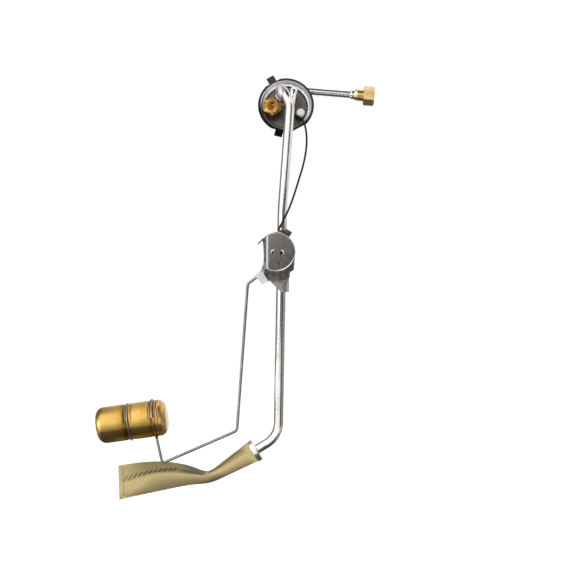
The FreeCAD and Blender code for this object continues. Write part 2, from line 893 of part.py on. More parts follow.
def lead_bight():
    """Where the lead has cleared the flange's lip."""
    radius = s.cup_radius + s.lead_radius * 2.6
    return flange_point(radius * cosine(s.lead_exit_angle), -s.lead_exit_height,
                        radius * sine(s.lead_exit_angle))


def lead_path():
    """Out of the lug, over the lip, in a slack bow past the tube, and hooked into the eyelet."""
    centre, flag, barrel, normal = lug_frame()
    start = flag + barrel * (float(s.lug_barrel_length) / 2)
    bight = lead_bight()
    end = eyelet_barrel()
    hook = float(s.lead_hook)
    top = Vector(end.x - hook * 0.8, end.y, end.z + hook * 2)
    points = [start, start + barrel * float(s.lug_barrel_length), bight]
    count = 6
    for index in range(1, count + 1):
        share = index / (count + 1)
        point = bight + (top - bight) * share
        point.x += float(s.lead_bow) * sin(radians(180 * share ** 0.8))
        point.y = bight.y + (top.y - bight.y) * sin(radians(90 * share))
        points.append(point)
    points += [top, Vector(end.x - hook, end.y, end.z), end]
    radii = []
    for index in range(1, len(points) - 1):
        before = points[index] - points[index - 1]
        after = points[index + 1] - points[index]
        shorter = min(before.Length, after.Length)
        radii.append(0.45 * shorter / tan(before.getAngle(after) / 2))
    print("lead radii", " ".join(f"{radius:.1f}" for radius in radii))
    return bent_path(points, radii)


def make_lead():
    path = lead_path()
    wire = pipe(path, s.lead_radius)
    check_pipe("lead_wire", wire, path, s.lead_radius)
    print(f"lead length {path.Length:.1f}")
    lead = new_piece("lead_wire", wire)
    centre, flag, barrel, normal = lug_frame()
    start = flag - barrel * (float(s.lug_barrel_length) / 2)
    first = flag + barrel * (float(s.lug_barrel_length) / 2)
    knee = first + barrel * float(s.lug_barrel_length)
    rest = float(s.sleeve_length) - 2 * float(s.lug_barrel_length)
    reach = knee + (lead_bight() - knee).normalize() * rest
    sleeve_path = bent_path([start, knee, reach], [6.0])
    outer = pipe(sleeve_path, s.sleeve_radius)
    inner = pipe(sleeve_path, s.lug_barrel_radius + s.fit)
    blade_room = slot_for_flag(centre, flag, barrel, normal)
    return [lead, new_piece("lead_sleeve", outer.cut(inner).cut(blade_room))]


def slot_for_flag(centre, flag, barrel, normal):
    """Side slot in the sleeve where the lug's flag comes out."""
    across = (centre - flag).normalize()
    side = across.cross(normal).normalize()
    half = float(s.lug_barrel_length) / 2
    thick = float(s.lug_gauge) / 2 + float(s.fit)
    base = flag - normal * thick
    corners = [base + side * half, base - side * half, base - side * half + across * 4,
               base + side * half + across * 4]
    return Part.Face(Part.makePolygon(corners + corners[:1])).extrude(normal * (2 * thick))


def make_sender_terminal():
    post_x, post_z = post_place()
    top = -s.post_insulator_height
    ring = top - s.eyelet_gauge
    insulator = ring_body("post_insulator", s.post_radius + s.fit, s.post_insulator_radius, top, 0)
    post = new_body("terminal_post")
    turn(post, [(0, ring - s.post_head_height), (s.post_head_radius - 0.4, ring - s.post_head_height),
                (s.post_head_radius, ring), (s.post_radius, ring),
                (s.post_radius, s.plate_gauge + 0.6), (0, s.plate_gauge + 0.6)])
    for body in (insulator, post):
        place_at(body, can_x() + post_x, plate_y(), post_z - s.can_drop)
    centre = Vector(float(can_x() + post_x), float(plate_y() + ring), float(post_z - s.can_drop))
    flat = Part.makeCylinder(float(s.eyelet_radius), float(s.eyelet_gauge), centre, Y_AXIS)
    mouth = eyelet_barrel()
    barrel = Part.makeCylinder(float(s.lead_radius) + 0.5, float(s.eyelet_barrel_length), mouth,
                               Vector(1, 0, 0))
    neck_left = mouth.x + float(s.eyelet_barrel_length) - 1.5
    neck = Part.makeBox(centre.x - neck_left, float(s.eyelet_gauge), 2.4,
                        Vector(neck_left, centre.y, mouth.z - 2.0))
    hole = Part.makeCylinder(float(s.post_radius + s.fit), 3, centre - Y_AXIS, Y_AXIS)
    eyelet = flat.fuse([barrel, neck]).removeSplitter().cut(hole)
    return [insulator, post, new_piece("lead_eyelet", eyelet)]


# Sender can


def chord_top(radius):
    """Height at which a circle about the pivot meets the can's flat side."""
    return root(radius * radius - s.can_chord * s.can_chord)


def make_sender_cover():
    body = new_body("sender_cover")
    top = chord_top(s.can_radius)
    inner_radius = s.can_radius - s.can_gauge
    inner_chord = s.can_chord - s.can_gauge
    inner_top = root(inner_radius * inner_radius - inner_chord * inner_chord)
    slab(body, -s.can_depth, 0, [(-s.can_chord, top), (-s.can_chord, -top)], {1: (s.can_radius, -2)})
    doc.recompute()
    drum = body.Tip
    front_edges = []
    for index, edge in enumerate(drum.Shape.Edges, start=1):
        if abs(edge.BoundBox.YMax + float(s.can_depth)) < 1e-4:
            front_edges.append(f"Edge{index}")
    rounding = body.newObject("PartDesign::Fillet", "sender_cover_rounding")
    rounding.Base = (drum, front_edges)
    bind(rounding, "Radius", s.can_corner)
    slab(body, -s.can_depth + s.can_gauge, 0, [(-inner_chord, inner_top), (-inner_chord, -inner_top)],
         {1: (inner_radius, -2)}, cut=True)
    mouth = inner_top - 0.2
    slab(body, -s.can_depth + s.can_lip, 0, rectangle(-s.can_chord - 1, -inner_chord + 0.1, -mouth, mouth),
         cut=True)
    front = -s.can_depth - 0.1
    behind = -s.can_depth + s.can_gauge + 0.1
    height = -s.lance_drop
    slab(body, front, behind, circle=(s.lance_shift + s.lance_spread, height, s.lance_radius), cut=True)
    left = s.lance_shift - s.lance_spread
    slab(body, front, behind,
         [(left - 1.4, height + 0.5), (left + 0.8, height - 1.3), (left + 0.8, height + 2.3)], cut=True)
    on_can(body)
    return body


def make_sender_backplate():
    body = new_body("sender_backplate")
    corner = chord_top(s.can_radius)
    bend_x = s.can_offset + s.strap_slack
    shoulder_angle = 8
    outline = [(-s.can_chord, corner),
               (-s.cheek_reach, s.cheek_top),
               (-s.cheek_reach, -s.cheek_bottom),
               (-s.cheek_reach + 0.4, -s.skirt_bottom + 3),
               (-s.skirt_left, -s.skirt_bottom),
               (s.skirt_right, -s.skirt_bottom),
               (bend_x - 5.4, -s.strap_bottom + 3.4),
               (bend_x - 2.4, -s.strap_bottom),
               (bend_x, -s.strap_bottom),
               (bend_x, -s.strap_top),
               (s.ear_right - 0.5, -s.strap_top),
               (s.ear_right, -s.shoulder_bottom - 2.2),
               (s.shoulder_reach, -s.shoulder_bottom),
               (s.can_radius * cosine(shoulder_angle), -s.can_radius * sine(shoulder_angle))]
    half_cheek = (s.cheek_top + s.cheek_bottom) / 2
    waist_radius = (half_cheek * half_cheek + s.cheek_waist * s.cheek_waist) / (s.cheek_waist * 2)
    slab(body, 0, s.plate_gauge, outline, {1: (waist_radius, 1), 13: (s.can_radius, -1)})
    angle = s.post_angle
    tab_root = s.can_radius - s.post_tab_length
    tab_end = s.can_radius + s.post_tab_length
    slab(body, 0, s.plate_gauge, strip(tab_root * cosine(angle), tab_root * sine(angle),
                                       tab_end * cosine(angle), tab_end * sine(angle), s.post_tab_width))
    inner = s.tube_radius + s.fit
    outer = inner + s.plate_gauge
    axis_y = s.plate_gauge + inner
    column(body, -s.strap_bottom, -s.strap_top,
           [(bend_x - 1, 0), (bend_x, 0), (bend_x + outer, axis_y), (bend_x, axis_y + outer),
            (s.can_offset - 2, axis_y + outer), (s.can_offset - 2, axis_y + inner),
            (bend_x, axis_y + inner), (bend_x + inner, axis_y), (bend_x, s.plate_gauge),
            (bend_x - 1, s.plate_gauge)],
           {1: (outer, -1), 2: (outer, -1), 6: (inner, 1), 7: (inner, 1)})
    upper = strip(-s.cheek_reach + 0.9, s.cheek_top + 0.4, -s.upper_stop_reach, s.upper_stop_height,
                  s.stop_gauge)
    slab(body, -s.stop_depth, s.plate_gauge, upper)
    crook_x, crook_z = foot_point(*FOOT_CROOK)
    stop_left = crook_x + s.lower_stop_gap
    stop_bottom = crook_z - s.lower_stop_gap * 0.7
    lower = rectangle(stop_left, stop_left + s.stop_gauge, stop_bottom, stop_bottom + s.lower_stop_height)
    slab(body, -s.stop_depth, s.plate_gauge, lower)
    lip_turn = s.ledge_right - s.ledge_rise
    slab(body, -s.ledge_depth, 0.1,
         [(s.ledge_left, s.ledge_gauge - s.ledge_drop),
          (lip_turn, s.ledge_gauge - s.ledge_drop),
          (s.ledge_right, s.ledge_rise + s.ledge_gauge - s.ledge_drop),
          (s.ledge_right + s.ledge_gauge, s.ledge_rise - s.ledge_drop),
          (lip_turn + s.ledge_gauge / 2, -s.ledge_drop),
          (s.ledge_left, -s.ledge_drop)])
    slab(body, -0.1, s.plate_gauge + 0.1, circle=(0, 0, s.pin_radius + s.fit), cut=True)
    post_x, post_z = post_place()
    slab(body, -0.1, s.plate_gauge + 0.1, circle=(post_x, post_z, s.post_radius + s.fit), cut=True)
    on_can(body)
    return body


def arc_band(body, inner, outer, start, end, low, high, cut=False):
    """Part of a ring about the pivot, between two angles."""
    inner, outer = as_size(inner), as_size(outer)
    start, end = as_size(start), as_size(end)
    middle = (start + end) / 2
    corners = [(outer * cosine(start), outer * sine(start)),
               (outer * cosine(middle), outer * sine(middle)),
               (outer * cosine(end), outer * sine(end)),
               (inner * cosine(end), inner * sine(end)),
               (inner * cosine(middle), inner * sine(middle)),
               (inner * cosine(start), inner * sine(start))]
    arcs = {0: (outer, -1), 1: (outer, -1), 3: (inner, 1), 4: (inner, 1)}
    return slab(body, low, high, corners, arcs, cut=cut)


def former_radius():
    return s.can_radius - s.can_gauge - s.former_gap


def make_resistor():
    former = new_body("resistor_former")
    inner = former_radius() - s.former_gauge
    arc_band(former, inner, former_radius(), s.former_start, s.former_end, -s.former_width, 0)
    on_can(former)
    winding = new_body("resistor_winding")
    start = s.former_start + s.winding_margin
    end = s.former_end - s.winding_margin
    front = -s.former_width - s.winding_gauge
    back = front + s.winding_width + s.winding_gauge
    arc_band(winding, inner - s.winding_gauge, former_radius() + s.winding_gauge, start, end, front, back)
    arc_band(winding, inner - s.fit, former_radius() + s.fit, start - 1, end + 1, -s.former_width - s.fit,
             back + 0.1, cut=True)
    on_can(winding)
    return [former, winding]


# Float arm: pivot, lever, wiper, rod and float


def make_pivot_pin():
    body = new_body("pivot_pin")
    seat = -s.pin_collar_height
    head = seat - s.bushing_length - s.rest_gap * 2
    front = head - s.pin_head_height
    back = s.plate_gauge + 0.5
    turn(body, [(0, front), (s.pin_head_radius, front), (s.pin_head_radius, head), (s.pin_radius, head),
                (s.pin_radius, seat), (s.bushing_radius, seat), (s.bushing_radius, 0), (s.pin_radius, 0),
                (s.pin_radius, back), (0, back)])
    on_can(body)
    return body


def make_pivot_bushing():
    back = -s.pin_collar_height - s.rest_gap
    body = ring_body("pivot_bushing", s.pin_radius + s.running_fit, s.bushing_radius,
                     back - s.bushing_length, back, 0.2)
    on_can(body)
    return body


def rod_direction():
    """From the rod's root out to its shoulder, in x and z."""
    run = s.rod_shoulder_reach
    drop = s.rod_shoulder_drop
    length = root(run * run + drop * drop)
    return -run / length, -drop / length


def foot_point(distance, aside):
    """Point on the lever's foot in the can's directions, measured along the rod from its root."""
    along_x, along_z = rod_direction()
    return (-s.rod_root_reach + along_x * distance - along_z * aside,
            -s.rod_root_drop + along_z * distance + along_x * aside)


def make_lever():
    """Stamped lever: hub, cranked shank, and a foot folded back round the rod."""
    body = new_body("lever")
    back = -s.lever_setback
    front = back - s.lever_gauge
    knee_x = -s.lever_knee_x
    knee_z = -s.lever_knee_z
    half_width = s.lever_width / 2
    slab(body, front, back, circle=(0, 0, s.lever_hub))
    slab(body, front, back, strip(0, 0, knee_x, knee_z, s.lever_width))
    slab(body, front, back, circle=(knee_x, knee_z, half_width))
    upper_corner = foot_point(s.foot_reach, -2.3)
    lower_corner = foot_point(s.foot_reach - 1, 9)
    foot = [upper_corner, lower_corner, foot_point(0.7, 9.6), foot_point(*FOOT_CROOK),
            foot_point(-2.27, -1.18),
            (knee_x + half_width * 0.8, knee_z - half_width * 0.6),
            (knee_x - half_width * 0.8, knee_z + half_width * 0.6),
            foot_point(0, -2.9)]
    slab(body, front, back, foot)
    gauge = s.lever_gauge
    slab(body, front, back + s.foot_flange_depth,
         [upper_corner, lower_corner, foot_point(s.foot_reach - 1 - gauge, 9),
          foot_point(s.foot_reach - gauge, -2.3)])
    rod_room = (s.rod_radius + s.fit) * 2
    slab(body, back, back + rod_room,
         strip(*foot_point(s.foot_reach - gauge - 1, 0), *foot_point(s.foot_reach + 1, 0), rod_room),
         cut=True)
    slab(body, front - 0.1, back + 0.1, circle=(0, 0, s.bushing_radius + s.fit), cut=True)
    on_can(body)
    return body


def make_wiper():
    """Spring arm on the bushing that carries the contact over the winding."""
    arm = new_body("wiper_arm")
    angle = s.wiper_angle
    low = -s.lever_setback + 1.2
    high = low + s.wiper_gauge
    inner = former_radius() - s.former_gauge - s.winding_gauge - s.rest_gap
    slab(arm, low, high, circle=(0, 0, s.bushing_radius + 1.4))
    tip = inner - 0.2
    slab(arm, low, high, strip(0, 0, tip * cosine(angle), tip * sine(angle), s.wiper_width))
    slab(arm, low - 0.1, high + 0.1, circle=(0, 0, s.bushing_radius + s.fit), cut=True)
    on_can(arm)
    contact = new_body("wiper_contact")
    reach = inner - s.contact_radius
    slab(contact, high, high + s.contact_height,
         circle=(reach * cosine(angle), reach * sine(angle), s.contact_radius))
    on_can(contact)
    return [arm, contact]


def rod_groove():
    """The groove that holds the rod, next to the float's right end."""
    return s.float_length / 2 - s.float_corner - s.groove_margin - s.groove_width / 2


def float_axes():
    """The float's centre, its long direction and the direction across it."""
    tilt = radians(float(s.float_tilt))
    centre = Vector(float(s.float_x), float(rod_y() + s.rod_wrap_bend), float(s.float_z))
    return centre, Vector(cos(tilt), 0, sin(tilt)), Vector(-sin(tilt), 0, cos(tilt))


def wrap_arc(middle, across, radius, start, sweep):
    """Arc round the float in its groove; angles run from the underside to the back."""
    def point(angle):
        turned = radians(angle)
        return middle - across * (radius * cos(turned)) + Y_AXIS * (radius * sin(turned))
    return Part.Arc(point(start), point(start + sweep / 2), point(start + sweep))


def make_float_rod():
    centre, along, across = float_axes()
    plane = float(rod_y())
    groove = centre + along * float(rod_groove())
    radius = float(s.float_radius - s.groove_depth + s.fit + s.rod_radius)
    under = groove - across * radius
    corner = Vector(under.x, plane, under.z)
    start_x, start_z = rod_root()
    shoulder_x, shoulder_z = rod_shoulder()
    points = [Vector(float(start_x), plane, float(start_z)),
              Vector(float(shoulder_x), plane, float(shoulder_z)),
              Vector(float(s.rod_elbow_x), plane, float(s.rod_elbow_z)),
              Vector(float(s.rod_toe_x), plane, float(s.rod_toe_z)),
              corner,
              under]
    bend = float(s.rod_bend_radius)
    runs = bent_path(points[:5] + [under + Y_AXIS * 0.001], [bend, bend, bend * 0.6,
                                                             float(s.rod_wrap_bend)])
    edges = runs.Edges[:-1]
    last = edges[-1].valueAt(edges[-1].LastParameter)
    edges.append(wrap_arc(groove, across, radius, 0, float(s.rod_wrap)).toShape())
    print(f"rod wrap starts {(last - under).Length:.4f} from the groove's underside")
    path = Part.Wire(edges)
    shape = pipe(path, s.rod_radius)
    check_pipe("float_rod", shape, path, s.rod_radius)
    return new_piece("float_rod", shape)


def float_outline(radius, half, corner):
    """Points from one end to the other along the float's side, past its two grooves."""
    floor = s.groove_width * 0.2
    half_groove = s.groove_width / 2
    points = [(-half, 0), (-half, radius - corner), (-half + corner, radius)]
    for place in (s.clip_groove, rod_groove()):
        points += [(place - half_groove, radius), (place - floor, radius - s.groove_depth),
                   (place + floor, radius - s.groove_depth), (place + half_groove, radius)]
    return points + [(half - corner, radius), (half, radius - corner), (half, 0)]


def make_float():
    """Sealed shell of thin brass, closed at both ends."""
    body = new_body("float")
    half = s.float_length / 2
    outer = float_outline(s.float_radius, half, s.float_corner)
    inner = float_outline(s.float_radius - s.float_wall, half - s.float_wall,
                          s.float_corner - s.float_wall)
    last_corner = len(outer) - 3
    turn(body, outer, {1: (s.float_corner, 1), last_corner: (s.float_corner, 1)}, axis="H_Axis")
    hollow = s.float_corner - s.float_wall
    turn(body, inner, {1: (hollow, 1), last_corner: (hollow, 1)}, axis="H_Axis", cut=True)
    place_at(body, s.float_x, rod_y() + s.rod_wrap_bend, s.float_z, (0, 1, 0), -s.float_tilt)
    return body


def make_float_clip():
    """Split spring wire in the float's middle groove."""
    centre, along, across = float_axes()
    middle = centre + along * float(s.clip_groove)
    radius = float(s.float_radius - s.groove_depth + s.fit + s.clip_radius)
    gap = float(s.clip_gap)
    path = Part.Wire(wrap_arc(middle, across, radius, 90 + gap / 2, 360 - gap).toShape())
    shape = pipe(path, s.clip_radius)
    check_pipe("float_clip", shape, path, s.clip_radius)
    return new_piece("float_clip", shape)


# Strainer sock


def make_sock_collar():
    body = new_body("sock_collar")
    half = s.collar_length / 2
    bore = s.tube_radius + s.fit
    turn(body, [(-half, bore), (-half + s.collar_wall, bore),
                (-half + s.collar_wall, s.collar_radius - s.collar_wall),
                (half, s.collar_radius - s.collar_wall), (half, s.collar_radius),
                (-half + 0.6, s.collar_radius), (-half, s.collar_radius - 0.6)], axis="H_Axis")
    place_at(body, s.foot_offset - s.collar_distance * cosine(s.foot_slope), -s.tube_setback,
             -s.foot_drop - s.collar_distance * sine(s.foot_slope), (0, 1, 0), as_size(180) - s.foot_slope)
    return body


def sock_ring(centre, along, half_width, half_depth, twist):
    """Control points of an oval across the sock; at no twist its wide way lies along Y."""
    up = along.cross(Y_AXIS) * -1
    wide = Y_AXIS * cos(radians(twist)) + up * sin(radians(twist))
    thin = along.cross(wide).normalize()
    count = 12
    swell = 3 / (2 + cos(radians(360 / count)))
    ring = []
    for index in range(count):
        angle = radians(360 / count * index)
        ring.append(centre + wide * (half_width * swell * cos(angle))
                    + thin * (half_depth * swell * sin(angle)))
    return ring


def sock_rings():
    slope = foot_direction()
    mouth = Vector(float(s.foot_offset), -float(s.tube_setback), -float(s.foot_drop))
    mouth = mouth + slope * float(s.collar_distance)
    neck = mouth + slope * float(s.sock_throat)
    end = neck + Vector(-float(s.sock_tail), 0, -float(s.sock_tail_drop))
    lift = neck + Vector(-0.37 * float(s.sock_tail), 0, float(s.sock_arch))
    wide = float(s.sock_half_width)
    thick = float(s.sock_neck_thickness) / 2
    thin = float(s.sock_end_thickness) / 2
    round_mouth = float(s.sock_mouth)
    tucked = float(s.collar_radius - s.collar_wall - s.fit)
    collar_end = float(s.collar_length) / 2
    start = float(s.collar_wall + s.fit) - collar_end
    rings = []
    for distance in (start, 0, collar_end, collar_end + float(s.collar_wall)):
        rings.append(sock_ring(mouth + slope * distance, slope, tucked, tucked, 0))
    for share in (0.13, 0.4, 0.72):
        half_width = round_mouth + (wide - round_mouth) * share
        half_depth = round_mouth + (thick - round_mouth) * share
        middle = mouth + slope * float(s.sock_throat) * share
        rings.append(sock_ring(middle, slope, half_width, half_depth, 0))
    level = Vector(-1, 0, -0.12).normalize()
    rings.append(sock_ring(neck, level, wide, thick, 0))
    for share in (0.18, 0.38, 0.62, 0.82, 1):
        point = neck * (1 - share) ** 2 + lift * (2 * share * (1 - share)) + end * share ** 2
        tangent = (lift - neck) * (1 - share) + (end - lift) * share
        tangent.z = tangent.z * (1 - 0.75 * share)
        half_depth = thick + (thin - thick) * (1 - (1 - share) ** 1.6)
        rings.append(sock_ring(point, tangent.normalize(), wide, half_depth,
                               float(s.sock_twist) * share ** 0.86))
    return mouth, slope, rings


def make_sock():
    """Woven sleeve: round at the collar, pinched at the neck, twisted to a flat paddle."""
    mouth, slope, rings = sock_rings()
    spans = len(rings) - 3
    around = len(rings[0])
    skin = Part.BSplineSurface()
    skin.buildFromPolesMultsKnots(
        rings, [4] + [1] * (spans - 1) + [4], [1] * (around + 1),
        list(range(spans + 1)), list(range(around + 1)), False, True, 3, 3)
    faces = [skin.toShape()]
    for place in (0, spans):
        faces.append(Part.Face(Part.Wire(skin.uIso(place).toShape())))
    shell = Part.Shell(faces)
    shell.sewShape()
    body = Part.Solid(shell)
    if body.Volume < 0:
        body.reverse()
    root_of_tube = mouth - slope * float(s.collar_distance)
    tube_room = Part.makeCylinder(float(s.tube_radius + s.fit), float(s.foot_run) + float(s.fit),
                                  root_of_tube, slope)
    shape = body.cut(tube_room)
    print(f"sock: whole {body.Volume:.0f}, with the tube's room {shape.Volume:.0f}")
    return new_piece("sock", shape)


def make_all():
    pieces = [make_mounting_flange(), make_tube_boss(), make_pickup_tube(), make_tube_brace(),
              make_outlet_tube(), make_outlet_ferrule(), make_outlet_fitting(),
              make_vent_fitting(), make_vent_nut()]
    pieces += make_terminal()
    pieces.append(make_lead_lug())
    pieces += make_lead()
    pieces += make_sender_terminal()
    pieces += [make_sender_cover(), make_sender_backplate()]
    pieces += make_resistor()
    pieces += [make_pivot_pin(), make_pivot_bushing(), make_lever()]
    pieces += make_wiper()
    pieces += [make_float_rod(), make_float(), make_float_clip(), make_sock_collar(), make_sock()]
    return pieces


def check_document(pieces):
    doc.recompute()
    for item in doc.Objects:
        if "Invalid" in item.State or "Error" in item.State:
            raise RuntimeError(f"{item.Name} failed: {item.State}")
    for piece in pieces:
        shape = piece.Shape
        if shape.isNull() or not shape.isValid():
            raise RuntimeError(f"{piece.Label} has no valid shape")
        if len(shape.Solids) != 1:
            raise RuntimeError(f"{piece.Label} has {len(shape.Solids)} solids")


def export(pieces):
    os.makedirs("parts", exist_ok=True)
    for piece in pieces:
        piece.Shape.exportStep(f"parts/{piece.Label}.step")
        box = piece.Shape.BoundBox
        print(f"{piece.Label}: volume {piece.Shape.Volume:.1f}, x {box.XMin:.1f} to {box.XMax:.1f}, "
              f"y {box.YMin:.1f} to {box.YMax:.1f}, z {box.ZMin:.1f} to {box.ZMax:.1f}")


fill_sheet()
made = make_all()
check_document(made)
export(made)
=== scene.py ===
import math

import bpy
import bmesh
from mathutils import Matrix, Vector


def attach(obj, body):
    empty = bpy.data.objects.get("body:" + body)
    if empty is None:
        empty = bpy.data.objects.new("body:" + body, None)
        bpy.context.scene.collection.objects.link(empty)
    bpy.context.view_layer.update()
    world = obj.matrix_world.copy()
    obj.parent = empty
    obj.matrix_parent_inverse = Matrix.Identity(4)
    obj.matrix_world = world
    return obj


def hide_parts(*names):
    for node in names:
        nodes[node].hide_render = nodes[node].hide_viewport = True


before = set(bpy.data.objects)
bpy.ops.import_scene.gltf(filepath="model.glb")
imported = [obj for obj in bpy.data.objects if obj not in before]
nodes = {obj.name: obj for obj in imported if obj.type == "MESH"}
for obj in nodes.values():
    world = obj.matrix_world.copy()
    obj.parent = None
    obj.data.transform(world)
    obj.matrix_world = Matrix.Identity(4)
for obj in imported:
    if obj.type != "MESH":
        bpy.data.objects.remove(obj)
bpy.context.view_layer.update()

scene = bpy.context.scene
mm = 0.001
print("frame loaded,", len(nodes), "nodes")

flangeTilt = math.radians(10)  # the flange leans back by this much


def flangePoint(x, y, z):
    # a point in the leaning flange's own directions, in mm, y outwards
    return Vector((x, y * math.cos(flangeTilt) + z * math.sin(flangeTilt),
                   z * math.cos(flangeTilt) - y * math.sin(flangeTilt))) * mm


def bellCurve(value, middle, width):
    return math.exp(-((value - middle) / width) ** 2)


def zeroToOne(value):
    return min(max(value, 0), 1)


def between(pair, share):
    return pair[0] + (pair[1] - pair[0]) * share


# shader helpers

def newMaterial(name):
    material = bpy.data.materials.new(name)
    material.use_nodes = True
    tree = material.node_tree
    shader = tree.nodes["Principled BSDF"]
    return material, tree, shader


def addNode(tree, kind, **settings):
    node = tree.nodes.new(kind)
    for key, value in settings.items():
        if key in node.inputs:
            node.inputs[key].default_value = value
        else:
            setattr(node, key, value)
    return node


def objectCoords(tree, scale=(1, 1, 1), turn=(0, 0, 0)):
    coords = addNode(tree, "ShaderNodeTexCoord")
    mapping = addNode(tree, "ShaderNodeMapping", Scale=scale, Rotation=turn)
    tree.links.new(coords.outputs["Object"], mapping.inputs["Vector"])
    return mapping.outputs["Vector"]


def splitAxes(tree, vector):
    split = addNode(tree, "ShaderNodeSeparateXYZ")
    tree.links.new(vector, split.inputs[0])
    return split.outputs


def addNoise(tree, vector, scale, detail=4, roughness=0.55):
    noise = addNode(tree, "ShaderNodeTexNoise", Scale=scale, Detail=detail, Roughness=roughness)
    tree.links.new(vector, noise.inputs["Vector"])
    return noise.outputs["Fac"]


def addRamp(tree, factor, stops, smooth=True):
    ramp = addNode(tree, "ShaderNodeValToRGB")
    band = ramp.color_ramp
    band.interpolation = "EASE" if smooth else "LINEAR"
    while len(band.elements) < len(stops):
        band.elements.new(0.5)
    for element, (place, colour) in zip(band.elements, stops):
        element.position = place
        element.color = (*colour, 1)
    tree.links.new(factor, ramp.inputs["Fac"])
    return ramp.outputs["Color"]


def addMath(tree, operation, first, second=None):
    node = addNode(tree, "ShaderNodeMath", operation=operation)
    for index, value in enumerate((first, second)):
        if isinstance(value, (int, float)):
            node.inputs[index].default_value = value
        elif value is not None:
            tree.links.new(value, node.inputs[index])
    return node.outputs[0]


def mixColours(tree, factor, first, second, blend="MIX"):
    node = addNode(tree, "ShaderNodeMix", data_type="RGBA", blend_type=blend)
    for socket, value in ((node.inputs[0], factor), (node.inputs[6], first), (node.inputs[7], second)):
        if isinstance(value, (int, float)):
            socket.default_value = value
        elif isinstance(value, tuple):
            socket.default_value = (*value, 1)
        else:
            tree.links.new(value, socket)
    return node.outputs[2]


def multiplyColours(tree, first, second):
    return mixColours(tree, 1.0, first, second, "MULTIPLY")


def addRange(tree, value, low, high, toLow, toHigh):
    node = addNode(tree, "ShaderNodeMapRange")
    tree.links.new(value, node.inputs["Value"])
    for name, number in (("From Min", low), ("From Max", high), ("To Min", toLow), ("To Max", toHigh)):
        node.inputs[name].default_value = number
    return node.outputs["Result"]


def addBump(tree, shader, height, distance):
    bump = addNode(tree, "ShaderNodeBump", Strength=1.0, Distance=distance)
    tree.links.new(height, bump.inputs["Height"])
    tree.links.new(bump.outputs["Normal"], shader.inputs["Normal"])


def metalMaterial(name, look):
    # worn metal: mottled colour, streaked roughness and a fine grain
    material, tree, shader = newMaterial(name)
    vector = objectCoords(tree)
    mottle = addNoise(tree, vector, look["mottleScale"], 5)
    streaks = addNoise(tree, objectCoords(tree, scale=look["streak"]), look["streakScale"], 6, 0.65)
    colour = addRamp(tree, mottle, [(0.32, look["dark"]), (0.5, look["middle"]), (0.68, look["light"])])
    # painted shade: the sheet darkens above a given height, where it lies behind and under the can, in
    # its shade
    if "shadedAbove" in look:
        low, high, tone = look["shadedAbove"]
        height = addRange(tree, splitAxes(tree, vector)["Z"], low, high, 0, 1)
        paintedDarkening = addRamp(tree, height, [(0.0, (1, 1, 1)), (1.0, (tone,) * 3)])
        colour = multiplyColours(tree, colour, paintedDarkening)
    tree.links.new(colour, shader.inputs["Base Color"])
    rough = addRange(tree, streaks, 0.3, 0.7, look["smooth"], look["rough"])
    tree.links.new(rough, shader.inputs["Roughness"])
    shader.inputs["Metallic"].default_value = 1.0
    addBump(tree, shader, streaks, look["grain"])
    return material
